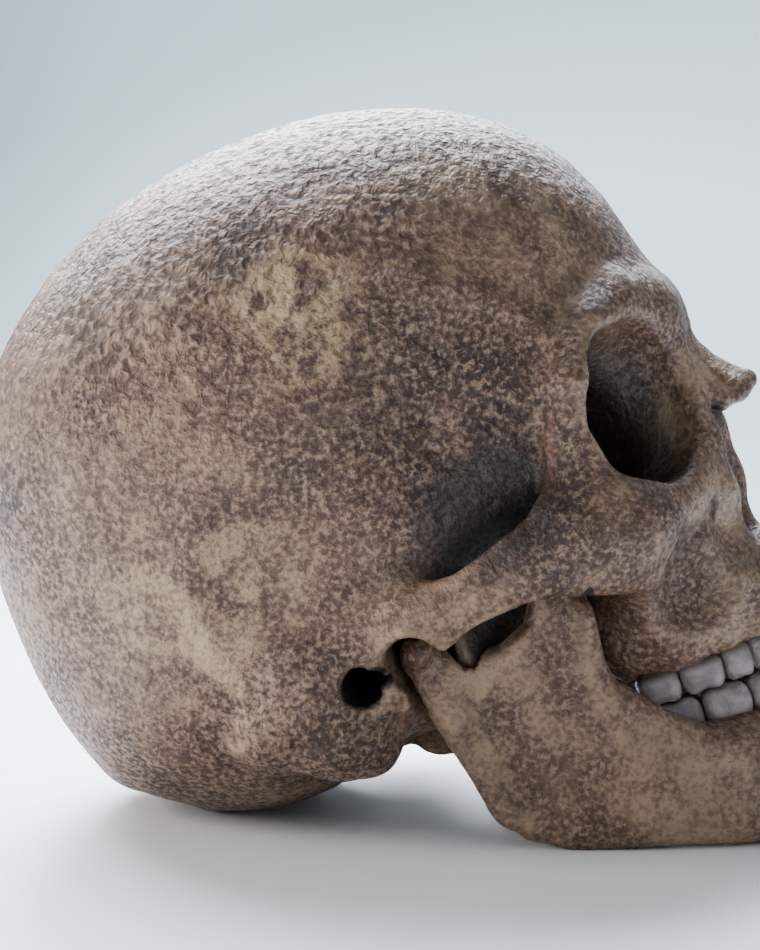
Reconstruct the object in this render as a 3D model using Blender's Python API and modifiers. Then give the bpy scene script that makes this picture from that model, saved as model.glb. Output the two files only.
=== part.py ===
"""A life-size replica of a human skull with its jaw, lying on its occiput and the jaw's lower edges.

Every size is in millimetres in the skull's own frame: X forward, Y to the skull's left, Z up, with the
origin midway between the ear holes and the floor of the orbits level with it (the Frankfurt plane).
Paired shapes are given once, on one side, and are mirrored in Y. At the end the skull is tilted back
until the occiput and the jaw touch one level, and turned into metres, with its box centred on the
origin and resting on it.
"""

import math

import bmesh
import bpy
import numpy as np
from mathutils import Matrix

MM = 0.001

# Driving dimensions, in millimetres
HALF_BREADTH = 69.0
CRANIAL_CENTRE = (0.0, 0.0, 52.0)
ORBIT_SIZE = (20.5, 18.6)
OCCLUSAL_REAR = (41.0, -43.5)
OCCLUSAL_DROP = 0.235
TOOTH_GAP = 0.5
SUTURE_GAP = 0.3
REST_FLAT = 0.7
JAW_CLEARANCE = 1.6
BRANCH_THICKNESS = 7.0
PITCH_RANGE = (20.0, 42.0)

# Shape of a tooth
TOOTH_SQUARENESS = 3.4
TOOTH_OVERLAP = 0.4
ROOT_TAPER = 0.3
ROOT_LEAN = 2.0
ROOT_DEPTH = 6.0

# Meshing sizes, in millimetres
VOXEL = 1.6
GRADIENT_STEP = 0.4
LONGEST_SHIFT = 2.0
REACH_MARGIN = 4.0
HALF_SPACE = 400.0
BEYOND = 300.0
WELD = 0.001
CRANIUM_TRIANGLES = 6200
MANDIBLE_TRIANGLES = 2400

SIDES = ((1, "left"), (-1, "right"))

BONE_ROUGHNESS = 0.55
BONE_COLOURS = {
    "frontal": (0.25, 0.16, 0.12),
    "parietal": (0.27, 0.18, 0.13),
    "occipital": (0.29, 0.20, 0.15),
    "temporal": (0.31, 0.22, 0.16),
    "sphenoid": (0.21, 0.13, 0.10),
    "zygomatic": (0.33, 0.24, 0.17),
    "maxilla": (0.31, 0.22, 0.16),
    "nasal": (0.30, 0.21, 0.15),
    "mandible": (0.26, 0.17, 0.13),
}


def smooth_min(a, b, blend):
    """The union of two distances with a fillet about as wide as blend."""
    if blend <= 0:
        return np.minimum(a, b)
    h = np.clip(0.5 + 0.5 * (b - a) / blend, 0, 1)
    return b * (1 - h) + a * h - blend * h * (1 - h)


def smooth_max(a, b, blend):
    return -smooth_min(-a, -b, blend)


def ease(value, low, high):
    """0 below low, 1 above high, smooth between."""
    t = np.clip((value - low) / (high - low), 0, 1)
    return t * t * (3 - 2 * t)


def turn(pitch=0.0, yaw=0.0, roll=0.0):
    """A rotation: roll about X, then pitch nose-up about Y, then yaw to the left about Z, in degrees."""
    return np.array(
        Matrix.Rotation(math.radians(yaw), 3, "Z")
        @ Matrix.Rotation(-math.radians(pitch), 3, "Y")
        @ Matrix.Rotation(math.radians(roll), 3, "X")
    )


def segment_distance(points, a, b, radius_a, radius_b):
    along = b - a
    t = np.clip((points - a) @ along / max(along @ along, 1e-9), 0, 1)
    return np.linalg.norm(points - a - t[:, None] * along, axis=1) - (
        radius_a + t * (radius_b - radius_a)
    )


class Shape:
    """A form with a signed distance. Points come with Y made positive, as both sides are alike."""

    def sides(self):
        return (1, -1) if self.paired else (1,)

    def reaches(self, points):
        """Which points are near enough for this shape to matter."""
        low, high = self.box
        margin = self.blend + REACH_MARGIN
        return ((points > low - margin) & (points < high + margin)).all(axis=1)


class Ball(Shape):
    """An ellipsoid."""

    def __init__(self, centre, radii, blend=6.0, paired=False, **angles):
        self.centre = np.array(centre, float)
        self.radii = np.array(radii, float)
        self.blend = blend
        self.paired = paired
        self.axes = turn(**angles)
        self.box = (self.centre - self.radii.max(), self.centre + self.radii.max())

    def distance(self, points):
        local = (points - self.centre) @ self.axes
        near = np.linalg.norm(local / self.radii, axis=1)
        steep = np.linalg.norm(local / self.radii**2, axis=1)
        return near * (near - 1) / np.maximum(steep, 1e-6)

    def add_to(self, mesh):
        place = Matrix.Translation(self.centre) @ Matrix(self.axes).to_4x4()
        for side in self.sides():
            bmesh.ops.create_icosphere(
                mesh,
                subdivisions=3,
                radius=1,
                matrix=Matrix.Diagonal((1, side, 1, 1))
                @ place
                @ Matrix.Diagonal((*self.radii, 1)),
            )


class Strand(Shape):
    """A rounded bar along a few points, with a radius at each. A squash over 1 thins it along that axis."""

    def __init__(self, points, radii, blend=6.0, paired=False, squash=(1, 1, 1)):
        self.points = np.array(points, float)
        self.radii = np.array(radii, float)
        self.blend = blend
        self.paired = paired
        self.squash = np.array(squash, float)
        widest = self.radii.max() / self.squash
        self.box = (self.points.min(axis=0) - widest, self.points.max(axis=0) + widest)

    def distance(self, points):
        local = points * self.squash
        ends = self.points * self.squash
        near = np.full(len(points), np.inf)
        for k in range(len(ends) - 1):
            found = segment_distance(
                local, ends[k], ends[k + 1], self.radii[k], self.radii[k + 1]
            )
            near = np.minimum(near, found)
        return near / self.squash.mean()

    def add_to(self, mesh):
        for side in self.sides():
            for k in range(len(self.points) - 1):
                a, b = self.points[k], self.points[k + 1]
                least = min(self.radii[k], self.radii[k + 1]) / self.squash.max()
                count = max(2, int(np.linalg.norm(b - a) / (0.5 * least)) + 1)
                for t in np.linspace(0, 1, count):
                    x, y, z = a + t * (b - a)
                    radius = self.radii[k] + t * (self.radii[k + 1] - self.radii[k])
                    bmesh.ops.create_icosphere(
                        mesh,
                        subdivisions=2,
                        radius=radius,
                        matrix=Matrix.Translation((x, side * y, z))
                        @ Matrix.Diagonal((*(1 / self.squash), 1)),
                    )


class Plate(Shape):
    """A rounded plate: an outline as (X, Z) points, upright on a plane that slants in Y."""

    def __init__(self, outline, y_at_origin, slant_x, slant_z, thickness, blend=5.0):
        self.outline = np.array(outline, float)
        self.level = (y_at_origin, slant_x, slant_z)
        self.half = thickness / 2
        self.blend = blend
        self.paired = True
        middle = self.middle(self.outline[:, 0], self.outline[:, 1])
        low, high = self.outline.min(axis=0), self.outline.max(axis=0)
        self.box = (
            np.array([low[0], middle.min() - self.half, low[1]]),
            np.array([high[0], middle.max() + self.half, high[1]]),
        )

    def middle(self, x, z):
        start, slant_x, slant_z = self.level
        return start + slant_x * x + slant_z * z

    def distance(self, points):
        flat = points[:, [0, 2]]
        near = np.full(len(flat), np.inf)
        inside = np.zeros(len(flat), bool)
        for a, b in zip(self.outline, np.roll(self.outline, -1, axis=0)):
            near = np.minimum(near, segment_distance(flat, a, b, 0, 0))
            crosses = (a[1] > flat[:, 1]) != (b[1] > flat[:, 1])
            rise = b[1] - a[1] if b[1] != a[1] else 1e-9
            at = a[0] + (flat[:, 1] - a[1]) / rise * (b[0] - a[0])
            inside ^= crosses & (flat[:, 0] < at)
        edge = np.where(inside, -near, near)
        face = np.abs(points[:, 1] - self.middle(points[:, 0], points[:, 2])) - self.half
        return smooth_max(edge, face, self.half * 1.4)

    def add_to(self, mesh):
        for side in self.sides():
            loops = []
            for offset in (-self.half, self.half):
                loops.append(
                    [
                        mesh.verts.new((x, side * (self.middle(x, z) + offset), z))
                        for x, z in self.outline
                    ]
                )
            ends = [mesh.faces.new(loop) for loop in loops]
            bridge = [edge for end in ends for edge in end.edges]
            made = bmesh.ops.bridge_loops(mesh, edges=bridge)["faces"]
            bmesh.ops.recalc_face_normals(mesh, faces=ends + made)


# The outline of the braincase on the midline, front to back over the top and round under, as (X, Z)
BRAINCASE_OUTLINE = (
    (91.0, 24.0),
    (94.6, 34.0),
    (94.3, 50.0),
    (92.6, 66.5),
    (86.5, 83.5),
    (74.2, 98.6),
    (56.5, 110.5),
    (30.0, 119.5),
    (1.0, 122.2),
    (-30.0, 115.8),
    (-55.5, 100.5),
    (-72.0, 79.0),
    (-80.6, 51.0),
    (-82.8, 24.0),
    (-79.0, 4.0),
    (-68.0, -9.0),
    (-48.0, -21.5),
    (-20.0, -24.5),
    (6.0, -22.0),
    (30.0, -14.0),
    (56.0, -6.0),
    (78.0, 6.0),
)
# How full the braincase is towards the side, by the direction in the midline plane, in degrees
BRAINCASE_FULLNESS = (
    (-180, 2.35),
    (-135, 2.7),
    (-90, 3.3),
    (-50, 2.6),
    (-15, 2.05),
    (20, 2.1),
    (60, 2.3),
    (100, 2.45),
    (140, 2.5),
)


def closed_spline(angles, values, wanted):
    """A smooth curve round the full turn, through a value at each of these angles."""
    angles = np.concatenate([angles[-3:] - 360, angles, angles[:3] + 360])
    values = np.concatenate([values[-3:], values, values[:3]])
    slopes = np.gradient(values, angles)
    k = np.clip(np.searchsorted(angles, wanted) - 1, 0, len(angles) - 2)
    step = angles[k + 1] - angles[k]
    t = (wanted - angles[k]) / step
    return (
        (2 * t**3 - 3 * t**2 + 1) * values[k]
        + (t**3 - 2 * t**2 + t) * step * slopes[k]
        + (3 * t**2 - 2 * t**3) * values[k + 1]
        + (t**3 - t**2) * step * slopes[k + 1]
    )


class Braincase(Shape):
    """A star-shaped shell: the midline outline, closed to the sides by superellipses."""

    blend = 6.0
    box = (np.full(3, -HALF_SPACE), np.full(3, HALF_SPACE))

    def __init__(self):
        self.centre = np.array(CRANIAL_CENTRE)
        offsets = np.array(BRAINCASE_OUTLINE) - self.centre[[0, 2]]
        angles = np.degrees(np.arctan2(offsets[:, 1], offsets[:, 0]))
        order = np.argsort(angles)
        self.turns = np.linspace(-180, 180, 721)
        self.outline = closed_spline(
            angles[order], np.linalg.norm(offsets, axis=1)[order], self.turns
        )
        turns, fullness = np.array(BRAINCASE_FULLNESS, float).T
        self.fullness = closed_spline(turns, fullness, self.turns)

    def reach(self, ways):
        """How far the shell lies from its centre in these unit directions."""
        angle = np.degrees(np.arctan2(ways[:, 2], ways[:, 0]))
        outline = np.interp(angle, self.turns, self.outline)
        fullness = np.interp(angle, self.turns, self.fullness)
        across = np.abs(ways[:, 1])
        level = np.sqrt(np.maximum(1 - across**2, 0))
        return (
            (level / outline) ** fullness + (across / HALF_BREADTH) ** fullness
        ) ** (-1 / fullness)

    def distance(self, points):
        offsets = points - self.centre
        away = np.maximum(np.linalg.norm(offsets, axis=1), 1e-6)
        return away - self.reach(offsets / away[:, None])

    def add_to(self, mesh):
        made = bmesh.ops.create_icosphere(mesh, subdivisions=5, radius=1)["verts"]
        ways = np.array([v.co for v in made])
        ways /= np.linalg.norm(ways, axis=1)[:, None]
        places = self.centre + ways * self.reach(ways)[:, None]
        for vertex, place in zip(made, places):
            vertex.co = place


class Stroke:
    """A ridge, or a groove where the height is negative, along a few points on the surface."""

    def __init__(self, points, height, width):
        self.points = np.array(points, float)
        self.height = height
        self.width = width

    def rise(self, points):
        near = np.linalg.norm(points - self.points[0], axis=1)
        for a, b in zip(self.points[:-1], self.points[1:]):
            near = np.minimum(near, segment_distance(points, a, b, 0, 0))
        return self.height * np.exp(-((near / self.width) ** 2))


def blended(layers, strokes, points):
    """The distance to each layer's solids joined, less its cuts, in turn, and raised by the strokes."""
    points = np.column_stack([points[:, 0], np.abs(points[:, 1]), points[:, 2]])
    near = np.full(len(points), HALF_SPACE)
    for solids, cuts in layers:
        for solid in solids:
            at = solid.reaches(points)
            near[at] = smooth_min(near[at], solid.distance(points[at]), solid.blend)
        for cut in cuts:
            at = cut.reaches(points)
            near[at] = smooth_max(near[at], -cut.distance(points[at]), cut.blend)
    for stroke in strokes:
        near = near - stroke.rise(points)
    return near


def vault():
    """The braincase with the hollows of the temples."""
    hollows = [
        Ball((49, 82, 22), (44, 26, 58), 5, paired=True, yaw=-22),
        Ball((40, 67, -8), (27, 17, 26), 8, paired=True, yaw=-15),
        Ball((38, 51, -17), (21, 9, 22), 6, paired=True, yaw=12),
    ]
    return [Braincase()], hollows


def face():
    """The brow, the rims of the orbits, the cheekbones, the nose and the upper jaw."""
    brow = [
        Strand([(87.5, 0, 32), (86.5, 10, 33.5)], [8.5, 8], 8, paired=True),
        Strand(
            [(86.5, 10, 35), (85.5, 26, 40.5), (79, 40, 39), (70, 49.5, 31)],
            [7.5, 5.8, 4.8, 4.4],
            6,
            paired=True,
        ),
    ]
    outer_rim = [
        Strand(
            [(69, 50, 30), (64.5, 50.5, 20), (63, 50.5, 9), (64, 48, -3)],
            [4.8, 4.6, 5.2, 6],
            4,
            paired=True,
        ),
        Strand(
            [(65, 50, 30), (61.5, 51.5, 18), (57.5, 54, 9), (52, 58, 3)],
            [4, 5, 6.5, 7],
            3,
            paired=True,
            squash=(1, 1.8, 1),
        ),
    ]
    cheekbone = [
        Ball((62, 49, -5), (12.5, 7.5, 11), 6, paired=True, yaw=-28, pitch=20),
        Strand([(65, 46, -6), (60, 42, -14)], [7, 4.5], 5, paired=True),
        Strand([(43, 60.5, -3.5), (52, 55.5, -9.5), (61, 46.5, -15.5)], [3.6, 3.8, 3.6], 3, paired=True),
        Strand([(60, 40, -13), (57, 31, -27)], [5.4, 5], 5, paired=True),
    ]
    lower_rim = [
        Strand(
            [(67, 46, -3.5), (75, 36, -5.5), (80, 25, -3.5), (84, 17, 3)],
            [6, 5, 4.5, 4],
            6,
            paired=True,
        )
    ]
    nose = [
        Strand(
            [(86.5, 10, 27), (86.5, 12, 14), (85.5, 15, 3), (81.5, 18.5, -10)],
            [6.5, 4.6, 4.2, 5.2],
            5,
            paired=True,
        ),
        Strand([(88, 0, 26), (94.2, 0, 15.6), (100.2, 0, 8.4)], [5.4, 3.2, 1.9], 4),
        Strand([(87, 4.5, 24), (92, 4.6, 15), (97.6, 4.2, 7.2)], [5.0, 3.4, 2.3], 4, paired=True),
        Strand([(88, 8, 20), (90.5, 8.5, 12), (93.2, 8, 7.4)], [3.6, 3.0, 1.8], 3, paired=True),
        Strand([(100.2, 0, 8.4), (97.4, 4.2, 7.6), (93.2, 8, 7.2)], [1.9, 1.9, 1.7], 3, paired=True),
    ]
    jaw = [
        Ball((64, 20, -19), (21, 17, 20), 8, paired=True),
        Ball((55, 24, -22), (13, 11, 17), 6, paired=True),
        Strand(
            [
                (46, 27, -28.5),
                (56, 27.5, -31),
                (66, 25, -34),
                (76, 19.5, -36.8),
                (83.5, 11.5, -38.8),
                (86.5, 0, -39.5),
            ],
            [6.6, 6.4, 5.8, 5.2, 4.8, 4.6],
            6,
            paired=True,
            squash=(1, 1, 0.72),
        ),
        Strand([(82, 0, -33), (80, 12, -32)], [7, 7], 6, paired=True),
        Strand([(84, 0, -28), (89.5, 0, -27)], [4, 2.6], 5),
    ]
    return brow + outer_rim + cheekbone + lower_rim + nose + jaw


def arch():
    """The arch of the cheek, its root over the ear and the crest behind it."""
    return [
        Strand(
            [(60, 53, -3), (50, 59.5, 0.6), (40, 63, 0.8), (28, 64.5, 0.8), (14, 64, 1.6)],
            [10, 9.0, 7.4, 6.0, 5.8],
            4,
            paired=True,
            squash=(1, 1.9, 1),
        ),
        Strand(
            [(14, 64, 2.4), (2, 62.5, 5), (-14, 63, 11)],
            [6.0, 6.0, 4.4],
            8,
            paired=True,
            squash=(1, 1.3, 1),
        ),
        Ball((13, 53, 5), (12, 13, 5.5), 6, paired=True),
    ]


def base():
    """The middle of the face, the floor of the braincase, the ear region and the mastoids."""
    return [
        Ball((55, 0, 2), (28, 30, 20), 8),
        Strand([(40, 0, -14), (16, 0, -19), (4, 0, -22)], [12, 9, 7], 8),
        Strand(
            [(43, 15, -12), (43.5, 14.5, -32)],
            [8, 4.6],
            5,
            paired=True,
            squash=(1, 1.4, 1),
        ),
        Ball((-4, 53, -4), (13, 11, 11), 7, paired=True),
        Strand(
            [(-14, 54, 2), (-14.5, 53, -11), (-12, 52.5, -15.5)],
            [13.5, 11, 8.4],
            6,
            paired=True,
        ),
        Strand([(-27, 55, -3), (-16, 54, -9)], [9.5, 9.5], 6, paired=True),
        Ball((6, 34, -12), (16, 17, 10), 8, paired=True, yaw=-35),
        Strand([(5, 42, -12), (8, 40, -22), (11, 38, -29)], [4.2, 3, 2.2], 4, paired=True),
        Ball((0, 17.5, -26.5), (11, 5.5, 5.5), 5, paired=True, yaw=-28),
    ]


def cranial_hollows():
    """The orbits, the nose, the palate, the ear holes, the jaw's sockets and the great hole."""
    return [
        Ball((80, 34, 18), (18, *ORBIT_SIZE), 2.4, paired=True, yaw=24, roll=-8),
        Ball((80, 42, 27), (12, 8, 9), 4, paired=True, yaw=30),
        Ball((60, 27, 17), (34, 16.5, 15), 4, paired=True, yaw=20),
        Strand([(97, 0, 0), (92.5, 0, -2), (92, 0, -10)], [4.4, 6.8, 10.8], 1.5),
        Strand([(84, 0, 0), (84, 0, -12)], [8.0, 10.8], 3),
        Strand([(72, 0, 0), (66, 0, -13.5)], [9, 9.8], 3),
        Ball((86, 6.2, -16.5), (14, 6.8, 7.2), 3, paired=True),
        Ball((86, 27, -20), (8, 8, 8), 7, paired=True),
        Ball((70, 38, -27), (12, 8, 9), 4, paired=True, yaw=-20),
        Ball((62, 0, -42), (20, 17, 12), 5),
        Strand([(44, 0, -31), (30, 0, -35)], [9.5, 10], 5),
        Strand([(-4.2, 70, -4.0), (-2.2, 46, -2.5)], [4.9, 4.2], 1.6, paired=True),
        Strand([(9, 70, -5.0), (10, 40, -4.5)], [6.4, 6.4], 2, paired=True),
        Strand([(10.2, 54, -9), (9.6, 52, -30)], [7.6, 7.8], 3, paired=True),
        Ball((-17, 0, -30), (17.5, 14.5, 22), 3.5),
        Ball((-9, 28, -30), (12, 6, 7), 6, paired=True),
        Strand([(-30, 44, -20), (-6, 40, -24)], [2.8, 3.4], 4, paired=True),
        Ball((16, 25, -24), (6, 5, 6), 4, paired=True),
    ]


# The line of the temple, from the brow back over the side of the head
TEMPLE_LINE = (
    (70.5, 48.5, 38.6),
    (70.1, 47.5, 44.0),
    (65.7, 50.0, 53.8),
    (58.9, 54.0, 61.4),
    (48.0, 58.5, 69.0),
    (30.0, 63.0, 76.0),
)


def cranial_strokes():
    return [
        Stroke(TEMPLE_LINE, 1.8, 3.4),
        # Swellings of the forehead and of the sides
        Stroke([(82, 30, 72)], 2.0, 20.0),
        Stroke([(-32, 58, 78)], 2.0, 26.0),
        # Seam of the temporal bone, and the crest over the mastoid
        Stroke(
            [(-26, 66.5, 24), (-23, 68, 38), (-10, 69, 52), (10, 68.5, 57), (28, 65, 52)],
            1.0,
            4.0,
        ),
        Stroke([(-10, 67, 11), (-26, 66, 20)], 1.0, 4.0),
        # Knob of the occiput, and the lines where the neck muscles end
        Stroke([(-80, 0, 8)], 2.2, 7.0),
        Stroke([(-80, 4, 7), (-71, 30, 6), (-54, 48, 4)], 1.2, 4.5),
        Stroke([(-66, 6, -16), (-58, 26, -12)], 1.0, 4.0),
    ]


# The outline of the jaw's branch seen from the side, from the neck of the joint down the rear edge, as (X, Z)
RAMUS_OUTLINE = (
    (3.4, -5.5),
    (4.2, -20.0),
    (4.6, -33.0),
    (4.0, -45.0),
    (6.5, -54.0),
    (14.0, -61.5),
    (24.0, -67.5),
    (36.0, -72.0),
    (42.0, -58.0),
    (41.0, -49.0),
    (40.5, -40.0),
    (41.5, -31.0),
    (44.5, -22.0),
    (47.0, -13.0),
    (46.0, -4.0),
    (42.0, 2.0),
    (38.5, 0.0),
    (36.0, -6.0),
    (31.6, -10.8),
    (25.0, -12.2),
    (18.5, -11.0),
    (13.6, -7.0),
    (10.8, -3.0),
)


def lower_jaw():
    ramus = [
        Plate(RAMUS_OUTLINE, 52.0, -0.20, 0.085, BRANCH_THICKNESS, 3.0),
        Strand([(7.2, 47.2, -46), (7.6, 48.6, -30), (8.2, 50, -12)], [3.5, 3.5, 4.0], 4, paired=True),
        Ball((8.5, 50.5, -4.0), (4.6, 9.0, 4.6), 3, paired=True, yaw=-12),
        Strand([(11.5, 45.4, -52), (18, 43.8, -57)], [3.5, 3.8], 3, paired=True),
    ]
    lower_edge = Strand(
        [
            (18, 43.8, -57.2),
            (32, 40.3, -66),
            (48, 34, -75.3),
            (62, 26, -83.5),
            (72, 16, -88.0),
            (76, 0, -89.4),
        ],
        [3.9, 4.5, 5.8, 6.4, 6.6, 7.0],
        4,
        paired=True,
    )
    wall = Strand(
        [
            (34, 38, -57),
            (48, 33, -64),
            (62, 27, -71),
            (73, 17, -77),
            (77, 0, -80),
        ],
        [6.4, 7.2, 7.2, 6.4, 6.0],
        9,
        paired=True,
    )
    tooth_ridge = Strand(
        [
            (38, 32.5, -56.5),
            (48, 29.5, -59.2),
            (60, 26, -61.4),
            (70, 20, -63.2),
            (77.5, 11.5, -65),
            (80.5, 0, -66.4),
        ],
        [5.2, 6.0, 5.4, 4.6, 4.2, 4.0],
        8,
        paired=True,
    )
    chin = [
        Ball((80, 0, -87.8), (6.5, 10, 8), 8),
        Ball((76, 12, -90), (6.5, 7, 5.5), 8, paired=True),
    ]
    cheek_line = Strand([(42, 41, -40), (50, 36, -56), (60, 31.5, -66)], [3.4, 3.6, 2.6], 8, paired=True)
    return ramus + [lower_edge, wall, tooth_ridge, cheek_line] + chin


def lower_jaw_hollows():
    return [
        Ball((46, 24, -78), (26, 7.5, 7), 6, paired=True, yaw=-25, pitch=-28),
        Ball((24, 55, -40), (15, 5.2, 20), 8, paired=True, pitch=10),
    ]


def lower_jaw_strokes():
    return [
        Stroke([(25, 49, -30), (27, 48, -58)], -0.8, 6.0),
        Stroke([(84, 0, -76)], -1.2, 7.0),
    ]


# One side's teeth from the middle back: width along the row, depth across it and height of the crown
UPPER_TEETH = (
    (8.8, 7.0, 10.0),
    (7.0, 6.4, 9.0),
    (8.0, 8.0, 9.8),
    (7.4, 9.0, 8.2),
    (7.2, 9.2, 7.8),
    (10.4, 10.8, 7.4),
    (10.0, 10.8, 7.2),
)
LOWER_TEETH = (
    (5.7, 6.0, 8.6),
    (6.3, 6.3, 8.8),
    (7.4, 7.6, 9.6),
    (7.5, 7.8, 8.6),
    (7.7, 8.4, 8.2),
    (11.4, 10.2, 8.0),
    (11.0, 10.2, 7.8),
)
# Each row is a half ellipse: its rear end in X, its length and its half width
UPPER_ROW = (40.5, 46.8, 28.0)
LOWER_ROW = (39.5, 45.0, 27.0)
BITE = math.atan(OCCLUSAL_DROP)


def row_spot(row, along):
    """The point and the outward heading of a tooth row, an ellipse, at this distance from its front."""
    rear, length, half = row
    turns = np.linspace(0, math.pi / 2, 400)
    x, y = rear + length * np.cos(turns), half * np.sin(turns)
    run = np.concatenate([[0], np.cumsum(np.hypot(np.diff(x), np.diff(y)))])
    angle = np.interp(along, run, turns)
    spare = max(0.0, along - run[-1])
    heading = math.atan2(math.sin(angle) / half, math.cos(angle) / length)
    return (
        rear + length * math.cos(angle) - spare,
        half * math.sin(angle),
        heading,
    )


def bite_level(x):
    return OCCLUSAL_REAR[1] - OCCLUSAL_DROP * (x - OCCLUSAL_REAR[0])


def add_tooth(mesh, spot, size, side, up):
    """A rounded block from the bite to the end of its root, turned to face out of the row."""
    x, y, heading = spot
    width, depth, height = size
    tall = height + ROOT_DEPTH
    place = (
        Matrix.Translation((x, side * y, bite_level(x) + up * (TOOTH_GAP / 2 + tall / 2)))
        @ Matrix.Rotation(BITE, 4, "Y")
        @ Matrix.Rotation(side * heading, 4, "Z")
    )
    made = bmesh.ops.create_uvsphere(
        mesh, u_segments=8, v_segments=5, radius=1, matrix=Matrix.Rotation(math.pi / 8, 4, "Z")
    )["verts"]
    for vertex in made:
        way = np.array(vertex.co)
        block = way / (np.abs(way) ** TOOTH_SQUARENESS).sum() ** (1 / TOOTH_SQUARENESS)
        rootward = up * block[2]
        taper = 1.02 - ROOT_TAPER * ease(rootward, -0.3, 1.0)
        lean = -ROOT_LEAN * ease(rootward, -0.2, 1.0)
        vertex.co = (
            block[0] * depth / 2 * taper + lean,
            block[1] * width / 2 * taper,
            block[2] * tall / 2,
        )
    bmesh.ops.transform(mesh, matrix=place, verts=made)


def fuse_teeth(jaw, teeth, row, up):
    """Joins a row of teeth to the jaw by one Boolean union on a collection."""
    rooted = bpy.data.collections.new(jaw.name + "_teeth")
    bpy.context.scene.collection.children.link(rooted)
    for side in (1, -1):
        along = 0.0
        for number, size in enumerate(teeth):
            spot = row_spot(row, along + size[0] / 2)
            along += size[0] - TOOTH_OVERLAP
            mesh = bmesh.new()
            add_tooth(mesh, spot, size, side, up)
            tooth = mesh_object(f"{jaw.name}_tooth_{side}_{number}", mesh)
            bpy.context.scene.collection.objects.unlink(tooth)
            rooted.objects.link(tooth)
    modifier = jaw.modifiers.new("teeth", "BOOLEAN")
    modifier.operation = "UNION"
    modifier.operand_type = "COLLECTION"
    modifier.collection = rooted
    modifier.solver = "MANIFOLD"
    bpy.context.view_layer.update()
    bake(jaw)
    for tooth in list(rooted.objects):
        bpy.data.objects.remove(tooth)
    bpy.data.collections.remove(rooted)
    keep_largest(jaw)


def keep_largest(body):
    """Keeps the largest closed surface of the mesh."""
    mesh = bmesh.new()
    mesh.from_mesh(body.data)
    bmesh.ops.remove_doubles(mesh, verts=mesh.verts, dist=WELD)
    left, groups = set(mesh.verts), []
    while left:
        front = [left.pop()]
        group = list(front)
        while front:
            vertex = front.pop()
            for edge in vertex.link_edges:
                other = edge.other_vert(vertex)
                if other in left:
                    left.remove(other)
                    front.append(other)
                    group.append(other)
        groups.append(group)
    groups.sort(key=len)
    for group in groups[:-1]:
        bmesh.ops.delete(mesh, geom=group, context="VERTS")
    mesh.to_mesh(body.data)
    mesh.free()


def mesh_object(name, mesh):
    data = bpy.data.meshes.new(name)
    mesh.to_mesh(data)
    mesh.free()
    made = bpy.data.objects.new(name, data)
    bpy.context.scene.collection.objects.link(made)
    return made


def bake(body):
    """Applies the object's modifiers."""
    graph = bpy.context.evaluated_depsgraph_get()
    data = bpy.data.meshes.new_from_object(body.evaluated_get(graph))
    old = body.data
    body.modifiers.clear()
    body.data = data
    bpy.data.meshes.remove(old)


def remesh(body, voxel):
    modifier = body.modifiers.new("voxels", "REMESH")
    modifier.mode = "VOXEL"
    modifier.voxel_size = voxel
    bake(body)


def thin_out(body, triangles):
    """Decimates the mesh to about this many triangles, alike on both sides."""
    body.data.calc_loop_triangles()
    modifier = body.modifiers.new("thin", "DECIMATE")
    modifier.ratio = triangles / len(body.data.loop_triangles)
    modifier.use_symmetry = True
    modifier.symmetry_axis = "Y"
    modifier.use_collapse_triangulate = True
    bake(body)


def combine(body, other, operation):
    """Joins other to body, or cuts it away, or keeps what they share, and removes other."""
    modifier = body.modifiers.new("combine", "BOOLEAN")
    modifier.operation = operation
    modifier.solver = "MANIFOLD"
    modifier.object = other
    bpy.context.view_layer.update()
    bake(body)
    bpy.data.objects.remove(other)


def settle(body, passes, distance):
    """Moves each vertex onto the surface where the distance is nought, and evens the mesh between passes."""
    for number in range(passes):
        points = np.empty(len(body.data.vertices) * 3, np.float32)
        body.data.vertices.foreach_get("co", points)
        points = points.reshape(-1, 3).astype(float)
        for _ in range(2):
            near = distance(points)
            slope = np.empty_like(points)
            for axis in range(3):
                step = np.zeros(3)
                step[axis] = GRADIENT_STEP
                slope[:, axis] = (distance(points + step) - near) / GRADIENT_STEP
            steep = np.maximum((slope**2).sum(axis=1), 0.25)
            shift = slope * (near / steep)[:, None]
            length = np.maximum(np.linalg.norm(shift, axis=1), 1e-9)
            points -= shift * np.minimum(1, LONGEST_SHIFT / length)[:, None]
        body.data.vertices.foreach_set("co", points.astype(np.float32).ravel())
        body.data.update()
        if number < passes - 1:
            modifier = body.modifiers.new("even", "SMOOTH")
            modifier.factor = 0.5
            modifier.iterations = 1
            bake(body)


def grown(name, layers, distance, voxel):
    """The layers joined and cut in Blender, remeshed, then moved onto the surface of the distance."""
    body = None
    for number, (solids, cuts) in enumerate(layers):
        mesh = bmesh.new()
        if body:
            mesh.from_mesh(body.data)
            bpy.data.objects.remove(body)
        for solid in solids:
            solid.add_to(mesh)
        body = mesh_object(name, mesh)
        remesh(body, voxel)
        if cuts:
            mesh = bmesh.new()
            for cut in cuts:
                cut.add_to(mesh)
            cutter = mesh_object(name + "_cutter", mesh)
            remesh(cutter, voxel)
            combine(body, cutter, "DIFFERENCE")
    for passes in (2, 3):
        remesh(body, voxel)
        settle(body, passes, distance)
    keep_largest(body)
    return body


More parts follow.
